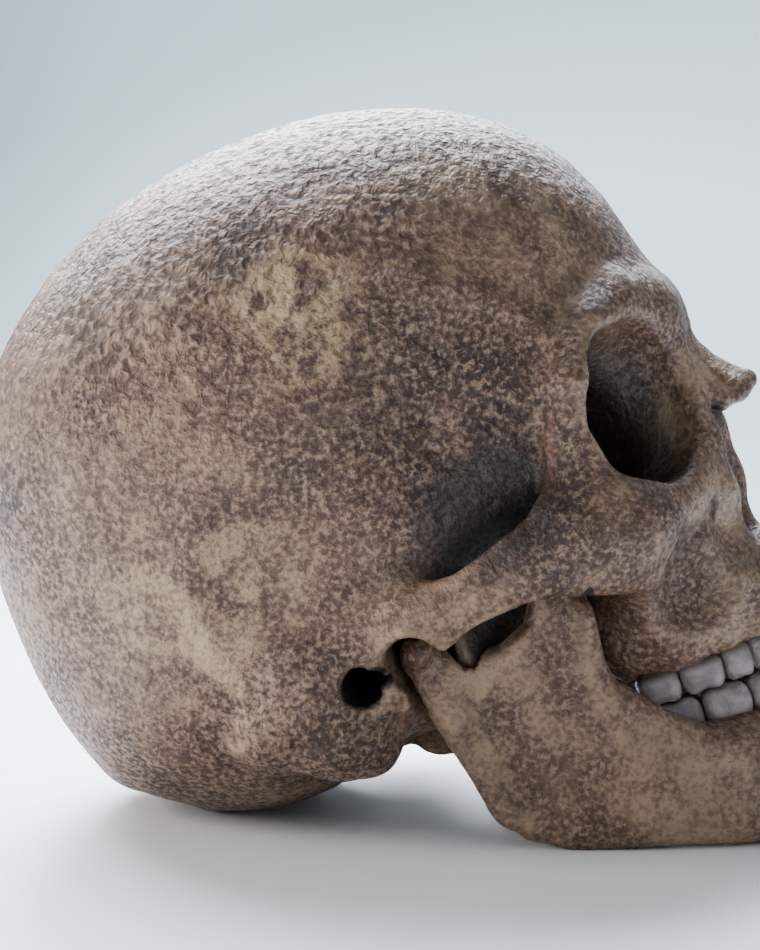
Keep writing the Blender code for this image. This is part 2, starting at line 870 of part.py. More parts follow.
def prism(outline, low, high, grow=0.0):
    """The corners of an upright block: an (X, Z) outline, grown on its plane, from one Y to another."""
    outline = np.array(outline, float)
    before = outline - np.roll(outline, 1, axis=0)
    after = np.roll(outline, -1, axis=0) - outline
    area = (outline[:, 0] * np.roll(outline[:, 1], -1) - outline[:, 1] * np.roll(outline[:, 0], -1)).sum()
    moved = []
    for point, a, b in zip(outline, before, after):
        a, b = a / np.linalg.norm(a), b / np.linalg.norm(b)
        out_a, out_b = np.array([a[1], -a[0]]), np.array([b[1], -b[0]])
        way = (out_a + out_b) / (1 + out_a @ out_b)
        moved.append(point + math.copysign(grow, area) * way)
    mesh = bmesh.new()
    loops = [
        [mesh.verts.new((x, y, z)) for x, z in moved] for y in (low - grow, high + grow)
    ]
    ends = [mesh.faces.new(loop) for loop in loops]
    bridge = [edge for end in ends for edge in end.edges]
    bmesh.ops.bridge_loops(mesh, edges=bridge)
    return finished_block(mesh)


def hull(corners, grow=0.0):
    """The smallest convex block round these points, with its faces moved out by grow."""
    mesh = bmesh.new()
    for corner in corners:
        mesh.verts.new(corner)
    bmesh.ops.convex_hull(mesh, input=mesh.verts)
    loose = [vertex for vertex in mesh.verts if not vertex.link_faces]
    bmesh.ops.delete(mesh, geom=loose, context="VERTS")
    bmesh.ops.recalc_face_normals(mesh, faces=mesh.faces)
    mesh.normal_update()
    shifts = [vertex.normal * vertex.calc_shell_factor() * grow for vertex in mesh.verts]
    for vertex, shift in zip(mesh.verts, shifts):
        vertex.co += shift
    return finished_block(mesh)


def finished_block(mesh):
    bmesh.ops.triangulate(mesh, faces=mesh.faces)
    bmesh.ops.recalc_face_normals(mesh, faces=mesh.faces)
    return mesh_object("block", mesh)


def both_sides(corners):
    return [(x, side * y, z) for x, y, z in corners for side in (1, -1)]


def one_side(corners, side):
    return [(x, side * y, z) for x, y, z in corners]


# The blocks that part the bones: outlines as (X, Z) points and corners as (X, Y, Z) points
FRONTAL_SEAM = (
    (37.0, 140.0),
    (38.5, 117.0),
    (43.0, 95.0),
    (49.0, 60.0),
    (51.0, 37.0),
    (60.0, 29.0),
    (70.0, 26.5),
    (84.0, 25.5),
    (130.0, 25.5),
    (130.0, 140.0),
)
OCCIPITAL_SEAM = (
    (-130.0, 78.0),
    (-81.0, 78.0),
    (-60.0, 46.0),
    (-42.0, 12.0),
    (-32.0, -8.0),
    (-28.0, -60.0),
    (-130.0, -60.0),
)
TEMPORAL_SEAM = (
    (-60.0, 12.5),
    (-42.0, 12.5),
    (-27.0, 28.0),
    (-19.0, 43.0),
    (-6.0, 53.0),
    (11.0, 57.5),
    (27.0, 54.0),
    (35.0, 44.0),
    (37.5, 28.0),
    (36.5, 14.0),
    (36.5, -60.0),
    (-60.0, -60.0),
)
MAXILLA_SEAM = (
    (47.0, -70.0),
    (130.0, -70.0),
    (130.0, 40.0),
    (81.0, 40.0),
    (77.0, 3.0),
    (47.0, -4.0),
)
SPHENOID_SEAM = (
    (-24.0, -60.0),
    (-24.0, 27.0),
    (37.0, 34.5),
    (130.0, 34.5),
    (130.0, -60.0),
)
ARCH_SEAM = ((36.5, -30.0), (36.5, 12.5), (60.0, 12.5), (60.0, -30.0))
CHEEK_CORNERS = (
    (58, 44, 40),
    (82, 44, 40),
    (82, 90, 40),
    (58, 90, 40),
    (58, 38, -3),
    (79, 29, -3),
    (95, 29, -3),
    (95, 90, -3),
    (62, 40, -22),
    (50, 46, -36),
    (75, 46, -36),
    (75, 90, -36),
    (50, 90, -36),
)
NASAL_CORNERS = ((84, 4.5, 40), (130, 4.5, 40), (84, 7.5, 1), (130, 9.0, 1))
BASAL_CORNERS = (
    (-36, 26, -8),
    (-36, 26, -60),
    (2, 24, -9),
    (2, 24, -60),
    (27, 11, -8),
    (27, 11, -60),
)


def part_off(body, name, blocks):
    """Takes the share of the body in the blocks as a bone of its own, and leaves the gap of a seam."""
    share = bpy.data.objects.new(name, body.data.copy())
    bpy.context.scene.collection.objects.link(share)
    for target, grow, operation in ((share, 0.0, "INTERSECT"), (body, SUTURE_GAP, "DIFFERENCE")):
        cutter = None
        for make, values in blocks:
            block = make(*values, grow=grow)
            if cutter:
                combine(cutter, block, "UNION")
            else:
                cutter = block
        combine(target, cutter, operation)
    keep_largest(share)
    keep_largest(body)
    return share


def bones_of(cranium):
    """Parts the cranium along its seams, front to back and down to the two parietal bones."""
    bones = [
        part_off(cranium, "frontal", [(prism, (FRONTAL_SEAM, -90, 90))]),
        part_off(cranium, "nasal_bones", [(hull, (both_sides(NASAL_CORNERS),))]),
    ]
    for side, name in SIDES:
        low, high = sorted((side * 57, side * 100))
        bones.append(
            part_off(
                cranium,
                "zygomatic_" + name,
                [
                    (hull, (one_side(CHEEK_CORNERS, side),)),
                    (prism, (ARCH_SEAM, low, high)),
                ],
            )
        )
    bones.append(part_off(cranium, "maxilla", [(prism, (MAXILLA_SEAM, -90, 90))]))
    bones.append(
        part_off(
            cranium,
            "occipital",
            [(prism, (OCCIPITAL_SEAM, -100, 100)), (hull, (both_sides(BASAL_CORNERS),))],
        )
    )
    for side, name in SIDES:
        low, high = sorted((side * 22, side * 100))
        bones.append(part_off(cranium, "temporal_" + name, [(prism, (TEMPORAL_SEAM, low, high))]))
    bones.append(part_off(cranium, "sphenoid", [(prism, (SPHENOID_SEAM, -90, 90))]))
    whole = ((-200, -200), (200, -200), (200, 200), (-200, 200))
    bones.append(part_off(cranium, "parietal_left", [(prism, (whole, 0, 100))]))
    cranium.name = "parietal_right"
    bones.append(cranium)
    return bones


def lowest(bodies, pitch, behind):
    """The lowest level of these bodies' vertices on one side of the ears, tilted back by pitch."""
    level = np.inf
    for body in bodies:
        points = np.array([vertex.co for vertex in body.data.vertices])
        points = points[(points[:, 0] < 0) == behind]
        if len(points):
            heights = points[:, 0] * math.sin(pitch) + points[:, 2] * math.cos(pitch)
            level = min(level, heights.min())
    return level


def resting_pitch(bodies):
    """The backward tilt at which the occiput and the jaw reach down to one level."""
    low, high = (math.radians(angle) for angle in PITCH_RANGE)
    for _ in range(40):
        pitch = (low + high) / 2
        if lowest(bodies, pitch, True) > lowest(bodies, pitch, False):
            low = pitch
        else:
            high = pitch
    return pitch


def lay_down(bodies):
    """Tilts the skull back, cuts its flats at one level, centres it on the origin and turns it to metres."""
    pitch = resting_pitch(bodies)
    tilt = Matrix.Rotation(-pitch, 4, "Y")
    floor = lowest(bodies, pitch, True) + REST_FLAT
    for body in bodies:
        body.data.transform(tilt)
        points = np.array([vertex.co for vertex in body.data.vertices])
        if points[:, 2].min() < floor:
            below = floor - BEYOND
            square = ((-BEYOND, below), (BEYOND, below), (BEYOND, floor), (-BEYOND, floor))
            combine(body, prism(square, -BEYOND, BEYOND), "DIFFERENCE")
            keep_largest(body)
    points = np.concatenate([[vertex.co for vertex in body.data.vertices] for body in bodies])
    low, high = points.min(axis=0), points.max(axis=0)
    shift = Matrix.Translation((-(low[0] + high[0]) / 2, -(low[1] + high[1]) / 2, -floor))
    for body in bodies:
        body.data.transform(Matrix.Scale(MM, 4) @ shift)


def finish(bodies):
    """Puts the bones in the skull's collection, each with a material of its own."""
    skull = bpy.data.collections.new("human_skull")
    bpy.context.scene.collection.children.link(skull)
    for body in bodies:
        material = bpy.data.materials.new(body.name + "_bone")
        material.use_nodes = True
        surface = material.node_tree.nodes["Principled BSDF"]
        surface.inputs["Base Color"].default_value = (*BONE_COLOURS[body.name.split("_")[0]], 1)
        surface.inputs["Roughness"].default_value = BONE_ROUGHNESS
        surface.inputs["Metallic"].default_value = 0.0
        body.data.materials.clear()
        body.data.materials.append(material)
        body.data.name = body.name
        bpy.context.scene.collection.objects.unlink(body)
        skull.objects.link(body)


def main():
    for old in list(bpy.data.objects):
        bpy.data.objects.remove(old)
    layers = [vault(), (face() + arch() + base(), cranial_hollows())]
    jaw_layers = [(lower_jaw(), lower_jaw_hollows())]

    def cranial_distance(points):
        return blended(layers, cranial_strokes(), points)

    def jaw_distance(points):
        """The lower jaw, kept clear of the cranium."""
        jaw = blended(jaw_layers, lower_jaw_strokes(), points)
        return np.maximum(jaw, JAW_CLEARANCE - cranial_distance(points))

    cranium = grown("cranium", layers, cranial_distance, VOXEL)
    mandible = grown("mandible", jaw_layers, jaw_distance, VOXEL)
    thin_out(cranium, CRANIUM_TRIANGLES)
    thin_out(mandible, MANDIBLE_TRIANGLES)
    fuse_teeth(cranium, UPPER_TEETH, UPPER_ROW, 1)
    fuse_teeth(mandible, LOWER_TEETH, LOWER_ROW, -1)
    bodies = bones_of(cranium) + [mandible]
    lay_down(bodies)
    finish(bodies)


main()
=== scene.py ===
import math

import bmesh
import bpy
import numpy as np
from mathutils import Matrix, Vector, noise
from mathutils.bvhtree import BVHTree


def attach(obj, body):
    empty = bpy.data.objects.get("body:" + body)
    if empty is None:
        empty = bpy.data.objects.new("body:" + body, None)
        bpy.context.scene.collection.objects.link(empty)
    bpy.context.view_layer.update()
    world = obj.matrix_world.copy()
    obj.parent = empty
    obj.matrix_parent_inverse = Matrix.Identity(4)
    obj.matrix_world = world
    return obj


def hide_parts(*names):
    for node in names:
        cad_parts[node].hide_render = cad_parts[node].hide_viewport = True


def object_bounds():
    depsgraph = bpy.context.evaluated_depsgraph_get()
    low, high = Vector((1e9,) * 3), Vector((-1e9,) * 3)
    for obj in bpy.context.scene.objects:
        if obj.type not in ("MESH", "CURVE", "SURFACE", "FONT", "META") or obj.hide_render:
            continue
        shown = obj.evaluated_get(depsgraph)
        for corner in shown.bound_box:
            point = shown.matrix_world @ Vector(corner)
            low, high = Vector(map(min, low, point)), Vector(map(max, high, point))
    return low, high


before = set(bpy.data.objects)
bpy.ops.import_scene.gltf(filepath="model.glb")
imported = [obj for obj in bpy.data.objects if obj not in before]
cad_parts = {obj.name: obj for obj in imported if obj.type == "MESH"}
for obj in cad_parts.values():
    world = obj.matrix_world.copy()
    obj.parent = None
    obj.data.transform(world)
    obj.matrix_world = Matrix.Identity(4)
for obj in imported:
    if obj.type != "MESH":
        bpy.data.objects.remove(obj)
cadBox = [list(corner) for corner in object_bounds()]

# The skull is shaped upright, in millimetres: X forward, Y left, Z up from the ear holes.
# It is then tipped back onto the table as the CAD model lies, in metres.
mmToMetres = 0.001
lying = {"pitch": 31.7946, "forward": -9.5476, "up": 44.5057}
toTable = (
    Matrix.Scale(mmToMetres, 4)
    @ Matrix.Translation((lying["forward"], 0, lying["up"]))
    @ Matrix.Rotation(-math.radians(lying["pitch"]), 4, "Y")
)
fromTable = toTable.inverted()


# Soft shapes, each a distance in mm, that melt into each other like clay


def softMin(a, b, blend):
    share = np.clip(0.5 + 0.5 * (b - a) / blend, 0, 1)
    return b * (1 - share) + a * share - blend * share * (1 - share)


def softMax(a, b, blend):
    return -softMin(-a, -b, blend)


def ease(value, low, high):
    t = np.clip((value - low) / (high - low), 0, 1)
    return t * t * (3 - 2 * t)


def turned(yaw=0, pitch=0, roll=0):
    return np.array(
        Matrix.Rotation(math.radians(yaw), 3, "Z")
        @ Matrix.Rotation(-math.radians(pitch), 3, "Y")
        @ Matrix.Rotation(math.radians(roll), 3, "X")
    )


def barDistance(points, a, b, radiusA=0, radiusB=0):
    along = b - a
    t = np.clip((points - a) @ along / max(along @ along, 1e-9), 0, 1)
    return np.linalg.norm(points - a - t[:, None] * along, axis=1) - (radiusA + t * (radiusB - radiusA))


def shape(distance, low, high, blend):
    return {"distance": distance, "low": low - blend - 4, "high": high + blend + 4, "blend": blend}


def ball(centre, radii, blend=6, **angles):
    centre, radii, axes = np.array(centre, float), np.array(radii, float), turned(**angles)

    def distance(points):
        local = (points - centre) @ axes
        near = np.linalg.norm(local / radii, axis=1)
        steep = np.linalg.norm(local / radii**2, axis=1)
        return near * (near - 1) / np.maximum(steep, 1e-6)

    return shape(distance, centre - radii.max(), centre + radii.max(), blend)


def strand(path, radii, blend=6, squash=(1, 1, 1)):
    path, squash = np.array(path, float), np.array(squash, float)
    ends, widest = path * squash, max(radii) / squash

    def distance(points):
        local = points * squash
        near = np.full(len(points), np.inf)
        for k in range(len(ends) - 1):
            near = np.minimum(near, barDistance(local, ends[k], ends[k + 1], radii[k], radii[k + 1]))
        return near / squash.mean()

    return shape(distance, path.min(axis=0) - widest, path.max(axis=0) + widest, blend)


def plate(outline, level, slantX, slantZ, thickness, blend):
    outline, half = np.array(outline, float), thickness / 2

    def middle(x, z):
        return level + slantX * x + slantZ * z

    def distance(points):
        flat = points[:, [0, 2]]
        near, inside = np.full(len(flat), np.inf), np.zeros(len(flat), bool)
        for a, b in zip(outline, np.roll(outline, -1, axis=0)):
            near = np.minimum(near, barDistance(flat, a, b))
            crosses = (a[1] > flat[:, 1]) != (b[1] > flat[:, 1])
            rise = b[1] - a[1] if b[1] != a[1] else 1e-9
            inside ^= crosses & (flat[:, 0] < a[0] + (flat[:, 1] - a[1]) / rise * (b[0] - a[0]))
        edge = np.where(inside, -near, near)
        return softMax(edge, np.abs(points[:, 1] - middle(points[:, 0], points[:, 2])) - half, half * 1.4)

    reach = middle(outline[:, 0], outline[:, 1])
    low, high = outline.min(axis=0), outline.max(axis=0)
    return shape(
        distance,
        np.array([low[0], reach.min() - half, low[1]]),
        np.array([high[0], reach.max() + half, high[1]]),
        blend,
    )


# The braincase: its outline on the midline, and how full it is towards the sides
braincase = {
    "centre": (0, 0, 52),
    "halfBreadth": 69,
    "outline": (
        (91, 24), (94.6, 34), (94.3, 50), (92.6, 66.5), (86.5, 83.5), (74.2, 98.6), (56.5, 110.5),
        (30, 119.5), (1, 122.2), (-30, 115.8), (-55.5, 100.5), (-72, 79), (-80.6, 51), (-82.8, 24),
        (-79, 4), (-68, -9), (-48, -21.5), (-20, -24.5), (6, -22), (30, -14), (56, -6), (78, 6),
    ),
    "fullness": (
        (-180, 2.35), (-135, 2.7), (-90, 3.3), (-50, 2.6), (-15, 2.05), (20, 2.1), (60, 2.3), (100, 2.45),
        (140, 2.5),
    ),
}


def closedCurve(angles, values, wanted):
    angles = np.concatenate([angles[-3:] - 360, angles, angles[:3] + 360])
    values = np.concatenate([values[-3:], values, values[:3]])
    slopes = np.gradient(values, angles)
    k = np.clip(np.searchsorted(angles, wanted) - 1, 0, len(angles) - 2)
    step = angles[k + 1] - angles[k]
    t = (wanted - angles[k]) / step
    return (
        (2 * t**3 - 3 * t**2 + 1) * values[k]
        + (t**3 - 2 * t**2 + t) * step * slopes[k]
        + (3 * t**2 - 2 * t**3) * values[k + 1]
        + (t**3 - t**2) * step * slopes[k + 1]
    )


def braincaseShape():
    centre = np.array(braincase["centre"], float)
    offsets = np.array(braincase["outline"], float) - centre[[0, 2]]
    angles = np.degrees(np.arctan2(offsets[:, 1], offsets[:, 0]))
    order = np.argsort(angles)
    turns = np.linspace(-180, 180, 721)
    outline = closedCurve(angles[order], np.linalg.norm(offsets, axis=1)[order], turns)
    fullness = closedCurve(*np.array(braincase["fullness"], float).T, turns)

    def distance(points):
        away = points - centre
        length = np.maximum(np.linalg.norm(away, axis=1), 1e-6)
        ways = away / length[:, None]
        angle = np.degrees(np.arctan2(ways[:, 2], ways[:, 0]))
        power = np.interp(angle, turns, fullness)
        across = np.abs(ways[:, 1])
        level = np.sqrt(np.maximum(1 - across**2, 0)) / np.interp(angle, turns, outline)
        return length - (level**power + (across / braincase["halfBreadth"]) ** power) ** (-1 / power)

    return shape(distance, np.full(3, -400.0), np.full(3, 400.0), 6)


def strokeRise(points, path, height, width):
    near = np.linalg.norm(points - path[0], axis=1)
    for a, b in zip(path[:-1], path[1:]):
        near = np.minimum(near, barDistance(points, a, b))
    return height * np.exp(-((near / width) ** 2))


def leftSide(points):
    return np.column_stack([points[:, 0], np.abs(points[:, 1]), points[:, 2]])


def melted(layers, strokes, points):
    points = leftSide(points)
    near = np.full(len(points), 400.0)
    for solids, cuts in layers:
        for number, form in enumerate(solids + cuts):
            at = ((points > form["low"]) & (points < form["high"])).all(axis=1)
            if number < len(solids):
                near[at] = softMin(near[at], form["distance"](points[at]), form["blend"])
            else:
                near[at] = softMax(near[at], -form["distance"](points[at]), form["blend"])
    for path, height, width in strokes:
        path = np.array(path, float)
        at = ((points > path.min(axis=0) - 3 * width) & (points < path.max(axis=0) + 3 * width)).all(axis=1)
        near[at] -= strokeRise(points[at], path, height, width)
    return near


temples = [
    ball((49, 82, 22), (44, 26, 58), 5, yaw=-22),
    ball((40, 67, -8), (27, 17, 26), 8, yaw=-15),
    ball((38, 51, -17), (21, 9, 22), 6, yaw=12),
]
brow = [
    strand([(87.5, 0, 32), (86.5, 10, 33.5)], [8.5, 8], 8),
    strand([(86.5, 10, 35), (85.5, 26, 40.5), (79, 40, 39), (70, 49.5, 31)], [7.5, 5.8, 4.8, 4.4], 6),
]
cheek = [
    strand([(69, 50, 30), (64.5, 50.5, 20), (63, 50.5, 9), (64, 48, -3)], [4.8, 4.6, 5.2, 6], 4),
    strand(
        [(65, 50, 30), (61.5, 51.5, 18), (57.5, 54, 9), (52, 58, 3)],
        [4, 5, 6.5, 7], 3, squash=(1, 1.8, 1),
    ),
    ball((62, 49, -5), (12.5, 7.5, 11), 6, yaw=-28, pitch=20),
    strand([(65, 46, -6), (60, 42, -14)], [7, 4.5], 5),
    strand([(43, 60.5, -3.5), (52, 55.5, -9.5), (61, 46.5, -15.5)], [3.6, 3.8, 3.6], 3),
    strand([(60, 40, -13), (57, 31, -27)], [5.4, 5], 5),
    strand([(67, 46, -3.5), (75, 36, -5.5), (80, 25, -3.5), (84, 17, 3)], [6, 5, 4.5, 4], 6),
]
noseBridge = [
    strand([(86.5, 10, 27), (86.5, 12, 14), (85.5, 15, 3), (81.5, 18.5, -10)], [6.5, 4.6, 4.2, 5.2], 5),
    strand([(88, 0, 26), (94.2, 0, 15.6), (100.2, 0, 8.4)], [5.4, 3.2, 1.9], 4),
    strand([(87, 4.5, 24), (92, 4.6, 15), (97.6, 4.2, 7.2)], [5.0, 3.4, 2.3], 4),
    strand([(88, 8, 20), (90.5, 8.5, 12), (93.2, 8, 7.4)], [3.6, 3.0, 1.8], 3),
    strand([(100.2, 0, 8.4), (97.4, 4.2, 7.6), (93.2, 8, 7.2)], [1.9, 1.9, 1.7], 3),
]
upperJaw = [
    ball((64, 20, -19), (21, 17, 20), 8),
    ball((55, 24, -22), (13, 11, 17), 6),
    strand(
        [
            (46, 27, -28.5), (56, 27.5, -31), (66, 25, -34), (76, 19.5, -36.8), (83.5, 11.5, -38.8),
            (86.5, 0, -39.5),
        ],
        [6.6, 6.4, 5.8, 5.2, 4.8, 4.6], 6, squash=(1, 1, 0.72),
    ),
    strand([(82, 0, -33), (80, 12, -32)], [7, 7], 6),
    strand([(84, 0, -28), (89.5, 0, -27)], [4, 2.6], 5),
]
cheekArch = [
    strand(
        [(60, 53, -3), (50, 59.5, 0.6), (40, 63, 0.8), (28, 64.5, 0.8), (14, 64, 1.6)],
        [10, 9, 7.4, 6, 5.8], 4, squash=(1, 1.9, 1),
    ),
    strand([(14, 64, 2.4), (2, 62.5, 5), (-14, 63, 11)], [6, 6, 4.4], 8, squash=(1, 1.3, 1)),
    ball((13, 53, 5), (12, 13, 5.5), 6),
]
skullBase = [
    ball((55, 0, 2), (28, 30, 20), 8),
    strand([(40, 0, -14), (16, 0, -19), (4, 0, -22)], [12, 9, 7], 8),
    strand([(43, 15, -12), (43.5, 14.5, -32)], [8, 4.6], 5, squash=(1, 1.4, 1)),
    ball((-4, 53, -4), (13, 11, 11), 7),
    strand([(-14, 54, 2), (-14.5, 53, -11), (-12, 52.5, -15.5)], [13.5, 11, 8.4], 6),
    strand([(-27, 55, -3), (-16, 54, -9)], [9.5, 9.5], 6),
    ball((6, 34, -12), (16, 17, 10), 8, yaw=-35),
    strand([(5, 42, -12), (8, 40, -22), (11, 38, -29)], [4.2, 3, 2.2], 4),
    ball((0, 17.5, -26.5), (11, 5.5, 5.5), 5, yaw=-28),
]
hollows = [
    ball((80, 34, 18), (18, 20.5, 18.6), 2.4, yaw=24, roll=-8),
    ball((80, 42, 27), (12, 8, 9), 4, yaw=30),
    ball((60, 27, 17), (34, 16.5, 15), 4, yaw=20),
    strand([(97, 0, 0), (92.5, 0, -2), (92, 0, -10)], [4.4, 6.8, 10.8], 1.5),
    strand([(84, 0, 0), (84, 0, -12)], [8, 10.8], 3),
    strand([(72, 0, 0), (66, 0, -13.5)], [9, 9.8], 3),
    ball((86, 6.2, -16.5), (14, 6.8, 7.2), 3),
    ball((86, 27, -20), (8, 8, 8), 7),
    ball((70, 38, -27), (12, 8, 9), 4, yaw=-20),
    ball((62, 0, -42), (20, 17, 12), 5),
    strand([(44, 0, -31), (30, 0, -35)], [9.5, 10], 5),
    strand([(-4.2, 70, -4), (-2.2, 46, -2.5)], [4.9, 4.2], 1.6),
    strand([(9, 70, -5), (10, 40, -4.5)], [6.4, 6.4], 2),
    strand([(10.2, 54, -9), (9.6, 52, -30)], [7.6, 7.8], 3),
    ball((-17, 0, -30), (17.5, 14.5, 22), 3.5),
    ball((-9, 28, -30), (12, 6, 7), 6),
    strand([(-30, 44, -20), (-6, 40, -24)], [2.8, 3.4], 4),
    ball((16, 25, -24), (6, 5, 6), 4),
]
# Ridges and swellings of the bone: path, height, half width
templeLine = [
    (70.5, 48.5, 38.6), (70.1, 47.5, 44), (65.7, 50, 53.8), (58.9, 54, 61.4), (48, 58.5, 69), (30, 63, 76),
]
skullStrokes = [
    (templeLine, 1.8, 3.4),
    ([(82, 30, 72), (82, 30, 72)], 2.0, 20.0),
    ([(-32, 58, 78), (-32, 58, 78)], 2.0, 26.0),
    ([(-26, 66.5, 24), (-23, 68, 38), (-10, 69, 52), (10, 68.5, 57), (28, 65, 52)], 1.0, 4.0),
    ([(-10, 67, 11), (-26, 66, 20)], 1.0, 4.0),
    ([(-80, 0, 8), (-80, 0, 8)], 2.2, 7.0),
    ([(-80, 4, 7), (-71, 30, 6), (-54, 48, 4)], 1.2, 4.5),
    ([(-66, 6, -16), (-58, 26, -12)], 1.0, 4.0),
]
ramusOutline = (
    (3.4, -5.5), (4.2, -20), (4.6, -33), (4, -45), (6.5, -54), (14, -61.5), (24, -67.5), (36, -72), (42, -58),
    (41, -49), (40.5, -40), (41.5, -31), (44.5, -22), (47, -13), (46, -4), (42, 2), (38.5, 0), (36, -6),
    (31.6, -10.8), (25, -12.2), (18.5, -11), (13.6, -7), (10.8, -3),
)
lowerJaw = [
    plate(ramusOutline, 52, -0.20, 0.085, 7, 3),
    strand([(7.2, 47.2, -46), (7.6, 48.6, -30), (8.2, 50, -12)], [3.5, 3.5, 4], 4),
    ball((8.5, 50.5, -4), (4.6, 9, 4.6), 3, yaw=-12),
    strand([(11.5, 45.4, -52), (18, 43.8, -57)], [3.5, 3.8], 3),
    strand(
        [(18, 43.8, -57.2), (32, 40.3, -66), (48, 34, -75.3), (62, 26, -83.5), (72, 16, -88), (76, 0, -89.4)],
        [3.9, 4.5, 5.8, 6.4, 6.6, 7.0], 4,
    ),
    strand(
        [(34, 38, -57), (48, 33, -64), (62, 27, -71), (73, 17, -77), (77, 0, -80)],
        [6.4, 7.2, 7.2, 6.4, 6], 9,
    ),
    strand(
        [
            (38, 32.5, -56.5), (48, 29.5, -59.2), (60, 26, -61.4), (70, 20, -63.2), (77.5, 11.5, -65),
            (80.5, 0, -66.4),
        ],
        [5.2, 6.0, 5.4, 4.6, 4.2, 4.0], 8,
    ),
    strand([(42, 41, -40), (50, 36, -56), (60, 31.5, -66)], [3.4, 3.6, 2.6], 8),
    ball((80, 0, -87.8), (6.5, 10, 8), 8),
    ball((76, 12, -90), (6.5, 7, 5.5), 8),
]
jawHollows = [
    ball((46, 24, -78), (26, 7.5, 7), 6, yaw=-25, pitch=-28),
    ball((24, 55, -40), (15, 5.2, 20), 8, pitch=10),
]
jawStrokes = [
    ([(25, 49, -30), (27, 48, -58)], -0.8, 6.0),
    ([(84, 0, -76), (84, 0, -76)], -1.2, 7.0),
]
jawClearance = 1.6

# Teeth, one side from the middle back: width along the row, depth across it and height of the crown
upperTeeth = (
    (8.8, 7, 10), (7.0, 6.4, 9), (8.0, 8, 9.8), (7.4, 9, 8.2), (7.2, 9.2, 7.8), (10.4, 10.8, 7.4),
    (10.0, 10.8, 7.2),
)
lowerTeeth = (
    (5.7, 6, 8.6), (6.3, 6.3, 8.8), (7.4, 7.6, 9.6), (7.5, 7.8, 8.6), (7.7, 8.4, 8.2), (11.4, 10.2, 8.0),
    (11.0, 10.2, 7.8),
)
# Each row is half of an ellipse: its rear end, its length and its half width
upperRow, lowerRow = (40.5, 46.8, 28.0), (39.5, 45.0, 27.0)
bite = {"rear": (41, -43.5), "drop": 0.235, "gap": 0.5, "rootDepth": 6, "squareness": 4.6, "overlap": 0.4}
# Swellings over the roots: lengths in mm, the rest as shares of the tooth's width or the swelling's radius
roots = {
    "radius": 0.38, "sunk": 0.45, "start": 0.9, "end": 0.5, "lean": 2.4, "upperLength": 12,
    "lowerLength": 9, "blend": 1.6,
}


def rowSpot(row, along):
    rear, length, half = row
    turns = np.linspace(0, math.pi / 2, 400)
    x, y = rear + length * np.cos(turns), half * np.sin(turns)
    run = np.concatenate([[0], np.cumsum(np.hypot(np.diff(x), np.diff(y)))])
    angle = np.interp(along, run, turns)
    spare = max(0.0, along - run[-1])
    heading = math.atan2(math.sin(angle) / half, math.cos(angle) / length)
    return rear + length * math.cos(angle) - spare, half * math.sin(angle), heading


def biteLevel(x):
    return bite["rear"][1] - bite["drop"] * (x - bite["rear"][0])


def rootSwellings(teeth, row, up, length):
    along, made = 0.0, []
    for width, depth, height in teeth:
        x, y, heading = rowSpot(row, along + width / 2)
        along += width - bite["overlap"]
        radius = width * roots["radius"]
        out = depth / 2 - radius * roots["sunk"]
        x, y = x + out * math.cos(heading), y + out * math.sin(heading)
        gum = biteLevel(x) + up * (bite["gap"] / 2 + height + radius * roots["start"])
        path = [(x, y, gum), (x - roots["lean"], y, gum + up * length)]
        made.append(strand(path, [radius, radius * roots["end"]], roots["blend"]))
    return made


# Details finer than the CAD model: root swellings, the ear's front wall, nerve holes, crisp edges and ledges
fineSkull = rootSwellings(upperTeeth[:-1], upperRow, 1, roots["upperLength"]) + [
    strand([(1.2, 65, -2), (0.8, 58, -12)], [1.3, 1.4], 1.5),
]
fineSkullHoles = [
    strand([(82, 28, -13), (74, 26, -9)], [1.6, 2.3], 1.5),
    strand([(70.5, 40, -5), (68, 37, -5.4)], [1.2, 1.0], 0.8),
    strand([(73.5, 36, -8.4), (71, 34, -8.4)], [1.1, 0.9], 0.8),
    strand([(82, 17.6, 5), (79.5, 17.4, -2)], [1.5, 1.3], 1.5),
    strand([(-36.2, 62, -0.1), (-35, 54, -0.1)], [1.0, 0.9], 0.8),
    strand([(-31, 64, 24), (-28, 61.5, 16), (-27, 60, 10)], [1.0, 1.3, 0.9], 2),
]
fineSkullStrokes = [
    ([(66, 52.5, 27), (59.6, 54.5, 22.5), (56.4, 56.5, 14.9), (50, 61, 10)], 0.7, 1.7),
    ([(45.1, 63, 9.4), (33.9, 65.5, 7.6), (20.4, 66, 6.8), (6.2, 66, 9)], 0.7, 1.8),
    ([(70.2, 41, -3), (68.4, 41.5, -7.6), (65, 41, -14.6), (60, 39, -20)], -0.7, 1.0),
    ([(38.3, 60, 97), (36.8, 61, 72.4), (36.4, 60, 46.7), (36, 58, 30)], -0.55, 1.6),
    ([(44, 53, 40), (40, 54, 26), (46, 52, 12)], -0.8, 2.6),
    ([(52, 49, 44), (55, 45, 30), (52, 47, 18)], -0.7, 2.2),
    ([(-4, 65, -12), (-16, 66, -22), (-26, 62, -14)], 0.7, 2.6),
    ([(-30, 64, 2), (-20, 67, -4), (-8, 66, 1)], 0.8, 3.0),
]
fineJaw = rootSwellings(lowerTeeth[:-1], lowerRow, -1, roots["lowerLength"]) + [
    strand(
        [
            (45, 44, -16), (41, 43.6, -27), (39.2, 42.4, -36), (39.4, 40.6, -45.5), (42, 38, -53),
            (48, 34.5, -60.5),
        ],
        [1.8, 1.9, 2.1, 2.3, 2.4, 1.8], 2.5,
    ),
]
fineJawHoles = [strand([(66, 34, -76), (62, 26, -73)], [2.2, 1.8], 1.2)]
fineJawStrokes = [
    ([(22, 47, -60), (20, 47, -52)], 0.8, 4.0),
    ([(6, 50, -26), (7, 50, -46), (14, 47, -58)], 0.5, 2.2),
]
